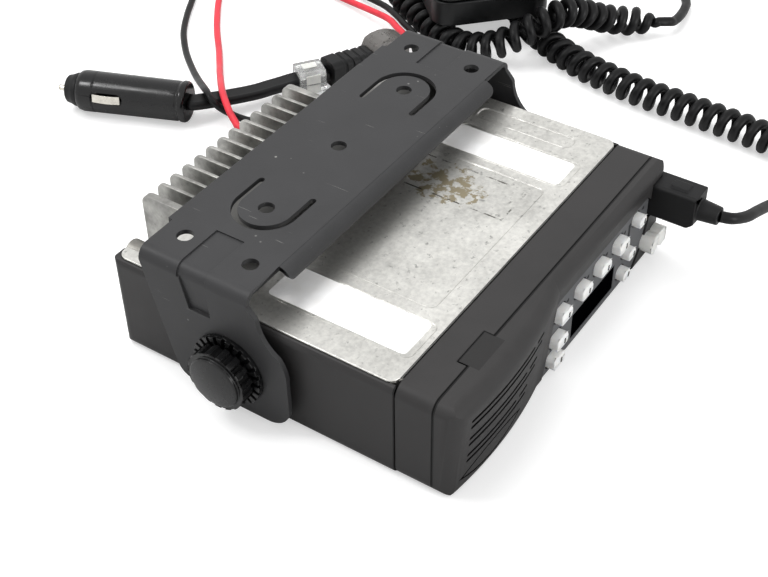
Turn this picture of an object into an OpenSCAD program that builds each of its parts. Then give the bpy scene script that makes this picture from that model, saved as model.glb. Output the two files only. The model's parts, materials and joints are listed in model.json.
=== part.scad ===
// Mobile two-way radio lying on its cover, with a tilting U bracket over its
// die-cast base, a hand microphone on a curly cord and a lead with a lighter plug.
// Millimetres. X across the front, -Y out of the front panel, +Z up from the table.

/* [Body] */
// Width across the cover
body_w = 168; // [164:1:172]
// Height of the body without the bracket
body_h = 44; // [44:0.5:46]
// Depth of the cover, from the front seam to its rear wall
cover_d = 126.5; // [124:0.5:130]
// Depth of the ring between cover and bezel
frame_d = 15.4; // [14:0.2:17]
// Wall of the plastic mouldings
wall = 2.4; // [2:0.1:2.6]

/* [Cooling fins] */
// Number of fins on the rear of the casting
fin_count = 13; // [9:2:13]
// Distance from fin to fin
fin_pitch = 7.5; // [6.5:0.1:7.6]
// Thickness of one fin
fin_t = 1.6; // [1.4:0.1:2.2]
// How far the fins stand out behind the cover
fin_reach = 16.5; // [10:0.5:18]

/* [Bracket] */
// Sheet thickness
sheet = 2; // [1.5:0.1:2.5]
// Clear gap between the body and each ear
ear_gap = 3.5; // [3.5:0.1:5]
// Height of the plate's upper face
plate_top = 60.7; // [60:0.1:64]
// Depth of the plate, front to rear
plate_d = 55; // [53:0.5:56]
// Corner hole distance across the plate
hole_dx = 149; // [146:0.5:150]
// Corner hole distance along the plate
hole_dy = 29.5; // [28:0.5:31]
// Diameter of the corner holes
hole_dia = 6.3; // [5:0.1:7]

/* [Knobs] */
// Diameter of the clamping knobs
knob_dia = 25; // [22:0.5:27]
// Number of grip scallops
knob_scallops = 16; // [12:1:18]

/* [Keys] */
// Width of a key
key_w = 8.4; // [7:0.1:8.6]
// Height of a key
key_h = 6.4; // [6:0.1:6.6]
// How far a key stands out of the panel
key_reach = 3.6; // [3:0.1:4.4]
// Travel of a key
key_travel = 0.8; // [0.5:0.1:0.8]

/* [Cords] */
// Diameter of the microphone cord
cord_dia = 4.8; // [4.4:0.1:4.9]
// Radius of the curls, to the middle of the cord
curl_r = 5.1; // [4.8:0.1:5.2]
// Curl pitch along the cord
curl_pitch = 7.2; // [7:0.1:7.6]
// Diameter of the red and the black lead
lead_dia = 3.4; // [3:0.1:3.4]

/* [Hidden] */
$fn = 48;

half_w = body_w / 2;
// The origin lies under the middle of the body, so the front seam is forward of it
seam1_y = -53;
seam2_y = seam1_y - frame_d;
cover_rear = seam1_y + cover_d;
fin_root = cover_rear - 11.5;
panel_y = seam2_y - 5.2;
nose_y = seam2_y - 12.6;
cover_top = body_h - 1;
edge_r = 4;
front_edge_r = 5;
gap = 0.2;

pivot_y = 14;
pivot_z = 22;
boss_r = 8;
stud_r = 2.5;
shoulder_r = 4;
running = 0.05;
ear_in = half_w + ear_gap;
ear_out = ear_in + sheet;
washer_t = 2.4;
knob_in = ear_out + washer_t + 0.3;
knob_t = 8.6;

plate_front = -1;
plate_rear = plate_front + plate_d;
plate_mid_y = 27.5;
bend_r = 5;
bend_front = 3.6;
flange_w = 140;
flange_d = 5.2;
slot_hole_x = 46;
slot_r = 11.9;
slot_w = 2.5;

// Key centres on the panel, x and z: top row, left pair, right pair
key_places = [
    [-3.8, 26.5], [12.4, 26.4], [27.9, 26.6], [43.6, 26.6], [59.2, 28.6],
    [-5.6, 14.8], [-7.2, 6.3], [52.2, 16.8], [49.2, 8]
];
// The fifth key and the right pair are smaller
function key_size(i) = i == 4 || i > 6 ? [key_w - 2.3, key_h - 0.9] : [key_w, key_h];
key_back = panel_y + 3.4;
window_box = [8, 43.5, 3.5, 15.8];
rocker_x = 74.5;
rocker_z = 9.5;
plug_x = 77;
plug_z = 30;
speaker_x = -52;
speaker_z = 22;

antenna_x = -62;
antenna_z = 26;
inlet_x = 62;
inlet_z = 18;
plug_reach = 20.5;

mic_pos = [178.2, 60.5, 16.2];
mic_turn = -44;
mic_len = 90;
mic_w = 58;
mic_h = 28;
mic_split = 13;

lighter_pos = [24.2, 209.5, 9.9];
lighter_turn = 21.5;
lighter_roll = -15;
lighter_r = 9.8;
lighter_end = 65;
contact_mid = 27.2;
fuse_r = 3.2;

join_pos = [107.2, 111.9, 7];
join_turn = -22;
boot_len = 29;
connector_len = 15;
marker_from = [96.3, 119.85, 6.5];
marker_to = [103.5, 114.55, 6.7];

// Places on the microphone and on the lead joint, turned into the part's frame
function turned(p, a) = [p.x * cos(a) - p.y * sin(a), p.x * sin(a) + p.y * cos(a), p.z];
function on_mic(p) = mic_pos + turned(p, mic_turn);
function on_join(p) = join_pos + turned(p, join_turn);
relief_end = on_mic([0, mic_len + 17, mic_split]);
relief_out = on_mic([0, mic_len + 27, mic_split]);
lighter_exit = lighter_pos + turned([0, -lighter_end, 0], lighter_turn);

// Routes of the cords: points chosen by hand along the middle of each
coil_route = [
    [165, -106, 7.6], [169, -90, 7.6], [171, -64, 7.6], [172, -42, 7.6], [173, -22, 7.6], [177, 4, 7.6],
    [182, 20, 7.6], [189, 36, 7.6], [199, 52, 7.6], [212, 68, 7.6], [224, 86, 7.6], [229, 104, 7.6],
    [224, 120, 7.6], [211, 129, 7.6], [196, 128, 7.6], [185, 118, 7.6], [178, 105, 7.6], [171, 93, 7.6],
    [166, 82, 7.6], [163, 71, 7.6], [164, 61, 9], [167, 51, 12.5], [172, 42.5, 17.5], [179, 36, 22],
    [188, 31.5, 24], [198, 28, 22], [208, 24, 17], [217, 19, 12], [225, 12, 9], [231, 4, 7.8],
    [236, -3, 7.6]
];
coil_last = len(coil_route) - 1;
coil_start = coil_route[0] - cord_dia * unit(coil_route[1] - coil_route[0]);
coil_finish = coil_route[coil_last] + cord_dia * unit(coil_route[coil_last] - coil_route[coil_last - 1]);
tail_route = [
    [77, -101.5, 30], [79.5, -106, 29.2], [87, -109, 26.5], [97, -110, 23], [108, -111, 19],
    [124, -114, 14], [142, -117, 10], [157, -116, 8], coil_start
];
lead_route = [
    coil_finish, [243, -8, 6], [250, -8, 5], [260, -6.5, 4], [270, -3, 3.2], [286, 9, 2.8],
    [301, 35, 2.8], [311, 70, 2.8], [315, 105, 5], [312, 137, 12], [303, 158, 19],
    [290, 168, 26], relief_out, relief_end
];
red_route = [
    [59, 94, 18], [56.5, 101, 16], [51, 107.5, 12.5], [46, 112.5, 9.8], [45, 117.1, 9], [46.8, 120.8, 9.8],
    [49.7, 126, 11.4], [53.7, 131.4, 12.6], [58.4, 136.9, 13], [63.5, 142, 12.3], [70.5, 148.4, 10],
    [78.7, 155.7, 7.6], [86.2, 162.1, 5.4], [100.3, 174.2, 2.6], [112, 184.8, 2], [123.4, 194.2, 2],
    [139.5, 206, 2], [155, 215, 2], [172, 215, 2], [181, 198, 2], [179, 172, 2.4], [174, 145, 3.6],
    [169.5, 128, 5.5], [165.5, 115, 6.8], [160.6, 106.5, 7], [156.5, 99.6, 7], [153, 96.8, 7],
    on_join([boot_len + connector_len, 2.3, 0])
];
black_route = [
    [65, 94, 18], [63, 104, 12], [60, 113, 7], [57, 120, 5], [55.5, 126.1, 5.4], [54.9, 130.6, 6.3],
    [53.4, 134.4, 8.5], [51.7, 137.4, 12], [52.4, 140.4, 13.9], [55, 143.9, 13.8], [58.6, 148.7, 12.2],
    [67.1, 159.5, 8], [76.5, 171.2, 4.6], [88.4, 185.3, 2.2], [97.5, 194.7, 2], [106.4, 202.4, 2],
    [118.9, 210.7, 2], [132.7, 218.5, 2], [152, 229, 2], [176, 230, 2], [192, 212, 2], [193, 180, 2.2],
    [184, 145, 3.4], [177.5, 126, 5.5], [170.7, 113.5, 6.8], [165.6, 105.5, 7], [162, 99, 7],
    [158.3, 93.8, 7], [153, 91.7, 7], on_join([boot_len + connector_len, -2.3, 0])
];
twin_route = [
    lighter_exit, [49.3, 147, 9.7], [53.4, 144.5, 9], [59.2, 141.2, 8.1], [64.2, 137.9, 7.6],
    [70.3, 133.9, 7.2], [76, 130.5, 6.9], [81.8, 127.8, 6.7], [87.6, 125, 6.5], [93.48, 121.93, 6.5],
    marker_from, marker_to, join_pos
];
twin_half = [4.8, 2.6];

// Plain shapes
module span(low, high) {
    translate(low) cube(high - low);
}

module along_x(x0, x1) {
    translate([x0, 0, 0]) rotate([90, 0, 90]) linear_extrude(x1 - x0) children();
}

module along_y(y0, y1) {
    translate([0, y1, 0]) rotate([90, 0, 0]) linear_extrude(y1 - y0) children();
}

module rod_x(x0, x1, r) {
    translate([x0, 0, 0]) rotate([0, 90, 0]) cylinder(h = x1 - x0, r = r);
}

module both_sides() {
    children();
    mirror([1, 0, 0]) children();
}

module round_box_2d(w, h, r) {
    square([w - 2 * r, h], center = true);
    square([w, h - 2 * r], center = true);
    for (x = [-1, 1])
        for (y = [-1, 1])
            translate([x * (w / 2 - r), y * (h / 2 - r)]) circle(r);
}

// Long hole along the first axis, by its end-to-end length
module long_hole_2d(length, w) {
    square([length - w, w], center = true);
    for (x = [-1, 1])
        translate([x * (length - w) / 2, 0]) circle(w / 2);
}

// Smooth route through points, resampled at even steps, and tubes swept along it
function mirror_ends(p) = concat([2 * p[0] - p[1]], p, [2 * p[len(p) - 1] - p[len(p) - 2]]);
function blend(a, b, c, d, t) =
    0.5 * (2 * b + (c - a) * t + (2 * a - 5 * b + 4 * c - d) * t * t + (3 * b - a - 3 * c + d) * t * t * t);
function smooth(p, n) = let (q = mirror_ends(p)) concat(
    [for (i = [0:len(p) - 2]) for (k = [0:n - 1]) blend(q[i], q[i + 1], q[i + 2], q[i + 3], k / n)],
    [p[len(p) - 1]]);
function run_lengths(p) =
    [for (i = 0, s = 0; i < len(p); i = i + 1, s = s + (i < len(p) ? norm(p[i] - p[i - 1]) : 0)) s];
function place_at(s, run, p) = [for (k = [0:2]) lookup(s, [for (i = [0:len(p) - 1]) [run[i], p[i][k]]])];
function even_points(p, count) = let (run = run_lengths(p), total = run[len(run) - 1])
    [for (i = [0:count]) place_at(total * i / count, run, p)];
function unit(v) = v / norm(v);
function heading(p, i) = unit(p[min(i + 1, len(p) - 1)] - p[max(i - 1, 0)]);
function side_of(t) = unit(cross(t, [0, 0, 1]));

// One ring of points round place c, square to heading t, a wide and b high
function ring(c, t, a, b, sides) = let (u = side_of(t), v = cross(u, t))
    [for (k = [0:sides - 1]) c + a * cos(360 * k / sides) * u + b * sin(360 * k / sides) * v];

module swept(p, a, b, sides) {
    last = len(p) - 1;
    points = [for (i = [0:last]) each ring(p[i], heading(p, i), a, b, sides)];
    walls = [for (i = [0:last - 1]) for (k = [0:sides - 1])
        let (m = i * sides + k, n = i * sides + (k + 1) % sides)
            each [[m, n, m + sides], [n, n + sides, m + sides]]];
    ends = [for (k = [1:sides - 2]) each
        [[0, k + 1, k], [last * sides, last * sides + k, last * sides + k + 1]]];
    polyhedron(points, concat(walls, ends), convexity = 10);
}

module cord(route, a, b, sides, ring_step) {
    fine = smooth(route, 6);
    run = run_lengths(fine);
    swept(even_points(fine, ceil(run[len(run) - 1] / ring_step)), a, b, sides);
}

// Casting: lipped base plate, front wall, side rails, pivot bosses and the finned rear block
module fin_2d() {
    fin_top = body_h - 2;
    fin_low = 3;
    corner = 4;
    fin_rear = cover_rear + fin_reach;
    polygon([
        [fin_root - 1, fin_low], [fin_rear - corner, fin_low],
        for (a = [-90:15:0]) [fin_rear - corner + corner * cos(a), fin_low + corner + corner * sin(a)],
        for (a = [0:15:90]) [fin_rear - corner + corner * cos(a), fin_top - corner + corner * sin(a)],
        [fin_root - 1, fin_top]
    ]);
}

module base_recesses() {
    depth = 0.35;
    // Left field, right field, middle field and the narrow one by the right edge: x, y, width, depth
    fields = [[-60, -17, 20, 66], [51.5, -19, 18, 58], [-3, -11.8, 82, 63.6], [71, -16, 8, 44]];
    for (f = fields)
        translate([f[0], f[1], body_h - depth])
            linear_extrude(depth + 1) round_box_2d(f[2], f[3], 3);
}

module chassis_casting() color([0.72, 0.72, 0.71]) {
    lip = 0.9;
    plate_t = 4;
    in_x = half_w - wall - gap;
    rail_x = in_x - 6;
    back = cover_rear - wall - gap;
    end_t = 2.6;
    block_x = (fin_count - 1) * fin_pitch / 2 + end_t;
    difference() {
        union() {
            difference() {
                union() {
                    translate([0, (seam1_y + 0.7 + back) / 2, body_h - lip])
                        linear_extrude(lip) round_box_2d(body_w - 3.6, back - seam1_y - 0.7, 4);
                    translate([0, (seam1_y + back) / 2, body_h - plate_t])
                        linear_extrude(plate_t - lip + 0.1) round_box_2d(2 * in_x, back - seam1_y - 0.4, 4);
                }
                span([-block_x, fin_root, 0], [block_x, cover_rear + 1, body_h + 1]);
            }
            span([-rail_x, seam1_y + 0.4, 5], [rail_x, seam1_y + 2.9, body_h - plate_t + 0.1]);
            both_sides() {
                span([rail_x - 3, seam1_y + 0.4, 8], [rail_x, back - 0.2, body_h - plate_t + 0.1]);
                translate([0, pivot_y, pivot_z]) rod_x(rail_x - 4, half_w, boss_r);
            }
            span([-block_x, fin_root - 8, 3.2], [block_x, fin_root, body_h - lip + 0.1]);
            // Wall behind the antenna socket
            span([-rail_x + 1, fin_root - 1, 8], [-block_x + 1, fin_root + 1.5, body_h - plate_t + 0.1]);
            for (i = [0:fin_count - 1])
                translate([(i - (fin_count - 1) / 2) * fin_pitch, 0, 0])
                    along_x(i == 0 ? -end_t : -fin_t / 2, i == fin_count - 1 ? end_t : fin_t / 2) fin_2d();
            for (x = [-62, 62])
                for (y = [-38, 40])
                    translate([x, y, 32]) cylinder(h = body_h - plate_t - 31.9, r = 3.2);
        }
        base_recesses();
        // Open space over the antenna socket
        span([-76.5, fin_root + 1.5, body_h - plate_t - 1], [-block_x, cover_rear + 1, body_h + 1]);
        // Slope down to the rear wall over the power inlet
        along_x(block_x, half_w)
            polygon([[66.2, body_h + 1], [66.2, body_h], [back + 0.2, body_h - plate_t + 1],
                [cover_rear + 1, body_h - plate_t + 1], [cover_rear + 1, body_h + 1]]);
        both_sides() translate([0, pivot_y, pivot_z]) rod_x(rail_x - 5, half_w + 1, 5);
        for (x = [-62, 62])
            for (y = [-38, 40])
                translate([x, y, 31]) cylinder(h = 8, r = 1.5);
        // Slot for the flat cable to the front
        span([-24, seam1_y, 12], [24, seam1_y + 4, 20]);
    }
}

// Block at the power inlet, by its half width, half height and its ends measured from the rear wall
module at_inlet(x, z, y0, y1) {
    span([inlet_x - x, cover_rear + y0, inlet_z - z], [inlet_x + x, cover_rear + y1, inlet_z + z]);
}

// Cover: a tray that closes the sides, the rear and, as the radio lies here, the underside
module tray_2d(inset, r) {
    translate([0, (seam1_y + cover_rear) / 2]) round_box_2d(body_w - 2 * inset, cover_d - 2 * inset, r);
}

module tray_block(inset, r) {
    intersection() {
        translate([0, 0, inset]) linear_extrude(cover_top) union() {
            tray_2d(inset, r + 1);
            translate([-half_w + inset, seam1_y - 5]) square([body_w - 2 * inset, 15]);
        }
        along_y(seam1_y - 6, cover_rear + 2)
            translate([0, body_h / 2 + inset]) round_box_2d(body_w - 2 * inset, body_h, r);
        along_x(-half_w, half_w)
            translate([(seam1_y - 20 + cover_rear - inset) / 2, body_h / 2 + inset])
                round_box_2d(cover_rear - inset - seam1_y + 20, body_h, r);
    }
}

module case_cover() color([0.13, 0.13, 0.14]) {
    window_x = (fin_count - 1) * fin_pitch / 2 + 2.8;
    difference() {
        tray_block(0, edge_r);
        tray_block(wall, edge_r - 1.5);
        span([-body_w, seam1_y - 10, -1], [body_w, seam1_y, body_h]);
        span([-body_w, seam1_y - 10, cover_top], [body_w, cover_rear + 10, body_h + 10]);
        span([-window_x, cover_rear - 20, 3], [window_x, cover_rear + 10, body_h]);
        span([-76.5, cover_rear - 5, antenna_z + 7.4], [-window_x + 1, cover_rear + 1, body_h]);
        span([window_x - 1, cover_rear - 6, body_h - 4], [half_w + 1, cover_rear + 1, body_h]);
        translate([0, pivot_y, pivot_z]) rod_x(-body_w, body_w, boss_r + gap);
        translate([antenna_x, cover_rear - 5, antenna_z]) rotate([-90, 0, 0]) cylinder(h = 10, r = 6.2);
        at_inlet(8.7, 6.7, -5, 5);
    }
}

// Ring between the cover and the bezel, notched on top for the bezel's snap tab
tab_x = [-61.5, -44];
tab_y = seam2_y + 4.1;

module front_outline_2d() {
    translate([0, body_h / 2]) round_box_2d(body_w, body_h, front_edge_r);
}

module front_opening_2d() {
    translate([0, body_h / 2]) round_box_2d(body_w - 7, body_h - 6, 2.5);
}

module front_frame() color([0.14, 0.14, 0.15]) {
    difference() {
        along_y(seam2_y + 0.15, seam1_y - 0.15) front_outline_2d();
        along_y(seam2_y - 1, seam1_y + 1) front_opening_2d();
        span([tab_x[0] - 0.2, seam2_y - 1, body_h - 2.6], [tab_x[1] + 0.2, tab_y + 0.2, body_h + 1]);
    }
}

// Bezel: rolled hood over the keys, bulged loudspeaker front with a lean, openings
module bezel_plan_2d() {
    depth = 30;
    translate([-half_w + 45, nose_y + depth / 2]) round_box_2d(90, depth, 9);
    translate([half_w - 60, seam2_y - 6.4 + depth / 2]) round_box_2d(120, depth, 6);
}

module hood_side_2d() {
    roll = 5.6;
    front = seam2_y - 6.2;
    translate([front + roll, body_h - roll]) circle(roll);
    polygon([
        [seam2_y, 0], [front + 1.9, 0], [front + 0.4, 1.5], [front + 0.2, 20], [front, body_h - roll],
        [front + roll, body_h], [seam2_y, body_h]
    ]);
}

module bulge() {
    bow_r = 192;
    lean = 4.3;
    front_y = seam2_y - 9.1;
    intersection() {
        translate([speaker_x - 2, front_y, 0]) rotate([lean, 0, 0]) intersection() {
            translate([0, bow_r, 0]) rotate_extrude($fn = 240) barrel_2d(bow_r, -1, body_h - 0.4);
            translate([0, 0, -5]) linear_extrude(body_h + 10) bulge_plan_2d();
        }
        span([-half_w, nose_y - 5, 0], [-2, seam2_y, body_h]);
    }
}

// Plan of the bulge, seen along its lean: the upright corner at the body's side is rounded
module bulge_plan_2d() {
    corner = 7;
    dip = 1.4;
    side = -half_w - speaker_x + 2;
    translate([side + corner, dip + corner]) circle(corner);
    translate([side + corner, -5]) square([80, 80]);
    translate([side, dip + corner]) square([corner + 1, 60]);
}

// Half section of the bulge, a shallow barrel with rounded edges
module barrel_2d(r, low, top) {
    top_r = 6;
    low_r = 4;
    translate([0, low]) square([r - low_r, top - low - top_r]);
    translate([0, low + low_r]) square([r, top - low - low_r - top_r]);
    translate([0, low]) square([r - top_r, top - low]);
    translate([r - top_r, top - top_r]) circle(top_r);
    translate([r - low_r, low + low_r]) circle(low_r);
}

module keypad_2d(grow) {
    polygon([
        [-15.2 - grow, 1.2 - grow], [-7.6 - grow, 33.2 + grow], [-6, 34.2 + grow], [67, 34.2 + grow],
        [70.4 + grow, 31.4], [70.6 + grow, 20], [67.5 + grow, 10], [60 + grow, 1.2 - grow]
    ]);
}

// Grille: three pairs of slots, the lower of each pair runs further and the upper one is broken
module grille_slots() {
    slot_h = 1.5;
    left = -76;
    pairs = [[35.2, -33, -25.5], [26.4, -37.5, -29.5], [17.8, -44, -36]];
    for (p = pairs)
        for (run = [[left, p[1], 0], [p[1] + 2.2, p[2] + 1, 0], [left, p[2], -3.1]])
            along_y(nose_y - 2, seam2_y - 2.5)
                translate([(run[0] + run[1]) / 2, p[0] + run[2]]) long_hole_2d(run[1] - run[0], slot_h);
}

// Lens-shaped outline, by its half length and its rise
module lens_2d(half_l, rise) {
    lens_r = (half_l * half_l + rise * rise) / (2 * rise);
    intersection() {
        translate([0, lens_r - rise]) circle(lens_r, $fn = 120);
        translate([0, rise - lens_r]) circle(lens_r, $fn = 120);
    }
}

// Groove round the bare lens-shaped field below the grille, following the bulge
module lens_groove() {
    difference() {
        along_y(nose_y - 2, seam2_y - 4)
            translate([-58.5, 7.6]) rotate(2) difference() {
                lens_2d(20.5, 4.2);
                lens_2d(18.2, 3.35);
            }
        translate([0, 1.2, 0]) bulge();
    }
}

module rocker_2d(grow) {
    for (s = [-1, 1])
        translate([rocker_x + s * 3.4, rocker_z]) rotate(s * 14) round_box_2d(7.8 + grow, 8.4 + grow, 3.4);
}

module front_bezel() color([0.14, 0.14, 0.15]) {
    difference() {
        intersection() {
            union() {
                along_x(-24, half_w) hood_side_2d();
                bulge();
            }
            along_y(nose_y - 1, seam2_y) front_outline_2d();
            translate([0, 0, -1]) linear_extrude(body_h + 2) bezel_plan_2d();
        }
        // Hollow behind the panel, the deeper one behind the grille and the keypad opening
        along_y(seam2_y - 3.6, seam2_y + 1) front_opening_2d();
        span([-79, seam2_y - 5.4, 4], [-22, seam2_y, 40]);
        along_y(nose_y - 5, seam2_y) keypad_2d(0.45);
        grille_slots();
        lens_groove();
        along_y(nose_y - 5, seam2_y) rocker_2d(0.6);
        // Microphone jack recess
        span([plug_x - 6.4, nose_y - 5, plug_z - 8.2], [plug_x + 6.4, seam2_y, plug_z + 8.4]);
    }
    span([tab_x[0], seam2_y - 0.1, body_h - 2.4], [tab_x[1], tab_y, body_h]);
}

module key_2d(i, grow) {
    size = key_size(i);
    translate(key_places[i]) round_box_2d(size.x + grow, size.y + grow, 2.4);
}

module keypad_panel() color([0.25, 0.25, 0.26]) {
    difference() {
        along_y(panel_y, panel_y + 2.2) keypad_2d(0);
        for (i = [0:8])
            along_y(panel_y - 1, panel_y + 4) key_2d(i, 0.9);
        span([window_box[0], panel_y - 1, window_box[2]], [window_box[1], panel_y + 4, window_box[3]]);
        along_y(panel_y - 1, panel_y + 4) rocker_2d(0.6);
        // Narrow dark window beside the top right key
        span([52.6, panel_y - 1, 22], [55.2, panel_y + 0.8, 29.4]);
    }
}

module display_window() color([0.03, 0.03, 0.04]) {
    g = 0.1;
    low = [window_box[0] + g, panel_y + 0.2, window_box[2] + g];
    high = [window_box[1] - g, panel_y + 2, window_box[3] - g];
    span(low, high);
}

module lcd_module() color([0.45, 0.5, 0.45]) {
    low = [window_box[0] - 1.6, panel_y + 2.4, window_box[2] - 0.2];
    high = [window_box[1] + 1.6, panel_y + 5.4, window_box[3] + 1.2];
    span(low, high);
}

module keypad_mat() color([0.85, 0.85, 0.83]) {
    back = panel_y + 5.4;
    difference() {
        span([-13, key_back + key_travel + 0.1, 3.4], [66.4, back, 34]);
        span([window_box[0] - 3, panel_y + 4, 2], [window_box[1] + 3, back + 1, window_box[3] + 1.8]);
    }
}

module control_board() color([0.1, 0.35, 0.2]) {
    front = panel_y + 5.6;
    difference() {
        span([-18, front, 3.4], [plug_x - 6.3, front + 1.6, 40.4]);
        for (x = [-14, 64])
            translate([x, front - 1, 37.5]) rotate([-90, 0, 0]) cylinder(h = 4, r = 1.4);
    }
}

module speaker() color([0.2, 0.2, 0.21]) {
    front = seam2_y - 5.2;
    translate([speaker_x, front, speaker_z]) rotate([-90, 0, 0]) difference() {
        union() {
            cylinder(h = 1.6, r = 17.6);
            translate([0, 0, 1.5]) cylinder(h = 5, r1 = 16.4, r2 = 9);
            translate([0, 0, 6.4]) cylinder(h = 5, r = 9.5);
        }
        translate([0, 0, -0.1]) cylinder(h = 4.4, r1 = 15, r2 = 6);
    }
}

// Jack for the microphone plug: a block with a stepped socket
module mic_jack() color([0.1, 0.1, 0.1]) {
    difference() {
        span([plug_x - 6.2, panel_y + 2, plug_z - 8], [plug_x + 3.2, panel_y + 17, plug_z + 8.2]);
        span([plug_x - 4.6, panel_y + 1, plug_z - 4.2], [plug_x + 2.6, panel_y + 13, plug_z + 4.2]);
    }
}

module main_board() color([0.12, 0.38, 0.22]) {
    difference() {
        span([-68, -46, 30.2], [68, 48, 31.8]);
        for (x = [-62, 62])
            for (y = [-38, 40])
                translate([x, y, 29]) cylinder(h = 4, r = 1.7);
    }
}

module rf_shield() color([0.7, 0.71, 0.72]) {
    difference() {
        span([-50, -36, 21.5], [16, 22, 30.1]);
        span([-49.4, -35.4, 22.1], [15.4, 21.4, 31]);
    }
}

module power_module() color([0.16, 0.16, 0.17]) {
    span([-30, 41, 16], [34, fin_root - 8.1, 26]);
}

module board_screws() color([0.75, 0.75, 0.76]) {
    for (x = [-62, 62])
        for (y = [-38, 40])
            translate([x, y, 0]) {
                translate([0, 0, 28.2]) cylinder(h = 1.9, r = 2.8);
                translate([0, 0, 30]) cylinder(h = 7, r = 1.4);
            }
}

module pivot_inserts() color([0.8, 0.66, 0.35]) {
    both_sides() translate([0, pivot_y, pivot_z]) difference() {
        rod_x(half_w - wall - gap - 9, half_w - 0.2, 4.98);
        rod_x(half_w - 30, half_w + 1, stud_r + running);
    }
}

module pivot_washers() color([0.08, 0.08, 0.08]) {
    both_sides() translate([0, pivot_y, pivot_z]) difference() {
        rod_x(half_w + 0.1, ear_in - 0.2, 12.5);
        rod_x(half_w - 1, ear_in + 1, shoulder_r + 0.3);
    }
}

module antenna_socket() color([0.78, 0.78, 0.76]) {
    translate([antenna_x, cover_rear, antenna_z]) rotate([-90, 0, 0]) difference() {
        union() {
            translate([0, 0, 0.1]) cylinder(h = 2, r = 8);
            translate([0, 0, -8]) cylinder(h = 9, r = 6);
            cylinder(h = 10.6, r = 5);
            translate([0, 0, 7]) rotate([0, 90, 0]) translate([0, 0, -6]) cylinder(h = 12, r = 1);
        }
        translate([0, 0, 2.6]) cylinder(h = 10, r = 3.6);
    }
}

module power_socket() color([0.1, 0.1, 0.1]) {
    difference() {
        union() {
            at_inlet(8.5, 6.5, -10, 3);
            at_inlet(10, 8, 0.1, 1.6);
        }
        at_inlet(6.6, 4.6, -7, 4);
    }
}

// Bracket: pressed plate with turned-down front flange, two cut tongues, ears and pressed gussets
module plate_2d() {
    flat_x = ear_out - bend_r;
    rear_step = 2;
    difference() {
        union() {
            translate([-flat_x, bend_front]) square([2 * flat_x, plate_rear - bend_front - rear_step]);
            translate([-flange_w / 2, plate_front + bend_r]) square([flange_w, plate_d - bend_r]);
        }
        for (x = [-1, 1]) {
            for (y = [-1, 1])
                translate([x * hole_dx / 2, plate_mid_y + y * hole_dy / 2]) circle(hole_dia / 2);
            translate([x * slot_hole_x, plate_mid_y]) {
                circle(3.15);
                tongue_2d(x);
            }
        }
        translate([0, plate_mid_y]) circle(3.1);
    }
}

// U-shaped slot round a tongue that opens towards the middle of the plate
module tongue_2d(side) {
    arm = 12.5;
    intersection() {
        difference() {
            circle(slot_r + slot_w / 2);
            circle(slot_r - slot_w / 2);
        }
        translate([side > 0 ? 0 : -20, -20]) square([20, 40]);
    }
    for (y = [-1, 1])
        translate([-side * arm / 2, y * slot_r]) {
            square([arm, slot_w], center = true);
            translate([-side * arm / 2, 0]) circle(slot_w / 2);
        }
}

// Quarter of a bend, from straight down on the right to level on top
module bend_2d(outer, inner) {
    intersection() {
        difference() {
            circle(outer);
            circle(inner);
        }
        square(outer + 1);
    }
}

module ear_2d() {
    difference() {
        union() {
            translate([-1.5, 13.6]) circle(10.3);
            translate([3.6, 28]) circle(15.3);
            translate([33.6, 12]) circle(6.3);
            polygon([
                [-1.5, 3.3], [14, 3.3], [32, 5.9], [39.9, 10.5], [plate_rear - 2, plate_top - bend_r],
                [bend_front, plate_top - bend_r], [0.2, 52], [-2.8, 43], [-11.6, 28], [-11.8, 13.6]
            ]);
        }
        translate([-17.2, 52]) circle(17.1);
        translate([pivot_y, pivot_z]) circle(shoulder_r + running);
    }
}

// Pressed gusset over each bend, between two depths below the sheet's outer face:
// a band across the bend that runs out in a deeper wedge down the ear
bend_centre = [ear_out - bend_r, plate_top - bend_r];

module gusset_band_2d(a, b) {
    inner_x = 66;
    translate([inner_x, plate_top - b]) square([bend_centre.x - inner_x + 0.01, b - a]);
    translate(bend_centre) bend_2d(bend_r - a, bend_r - b);
}

module gusset_wedge_2d(a, b) {
    low_z = 42.4;
    polygon([
        [ear_out - b, bend_centre.y + 0.01], [ear_out - b - 0.6, low_z], [ear_out - a, low_z],
        [ear_out - a, bend_centre.y + 0.01]
    ]);
}

module gusset(a, b) {
    along_y(22, 34.6) gusset_band_2d(a, b);
    intersection() {
        along_y(18, 38) gusset_wedge_2d(a, b);
        along_x(ear_in - 4, ear_out + 2) polygon([[34.6, 60], [22, 60], [20.8, 42], [30.4, 42]]);
    }
}

// Front edge of the plate, folded down
module flange_2d() {
    translate([plate_front + bend_r, plate_top - bend_r]) mirror([1, 0]) bend_2d(bend_r, bend_r - sheet);
    translate([plate_front, plate_top - flange_d]) square([sheet, flange_d - bend_r + 0.01]);
}

module bracket() color([0.24, 0.24, 0.25]) {
    difference() {
        union() {
            translate([0, 0, plate_top - sheet]) linear_extrude(sheet) plate_2d();
            both_sides() {
                along_y(bend_front, plate_rear - 2) translate(bend_centre) bend_2d(bend_r, bend_r - sheet);
                along_x(ear_in, ear_out) ear_2d();
            }
        }
        both_sides() gusset(-1, 0.7);
    }
    both_sides() gusset(sheet - 0.1, sheet + 0.7);
    intersection() {
        along_x(-flange_w / 2, flange_w / 2) flange_2d();
        along_y(plate_front - 1, plate_front + 10)
            translate([0, plate_top]) round_box_2d(flange_w, 2 * flange_d, 3);
    }
}

module lock_washers() color([0.1, 0.1, 0.1]) {
    both_sides() translate([0, pivot_y, pivot_z]) difference() {
        rod_x(ear_out, ear_out + washer_t, 15);
        rod_x(ear_in, knob_in, shoulder_r + 0.3);
        for (a = [0:15:345])
            rotate([a, 0, 0]) span([ear_out + 1.4, 9, -0.8], [knob_in, 16, 0.8]);
    }
}

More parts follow.
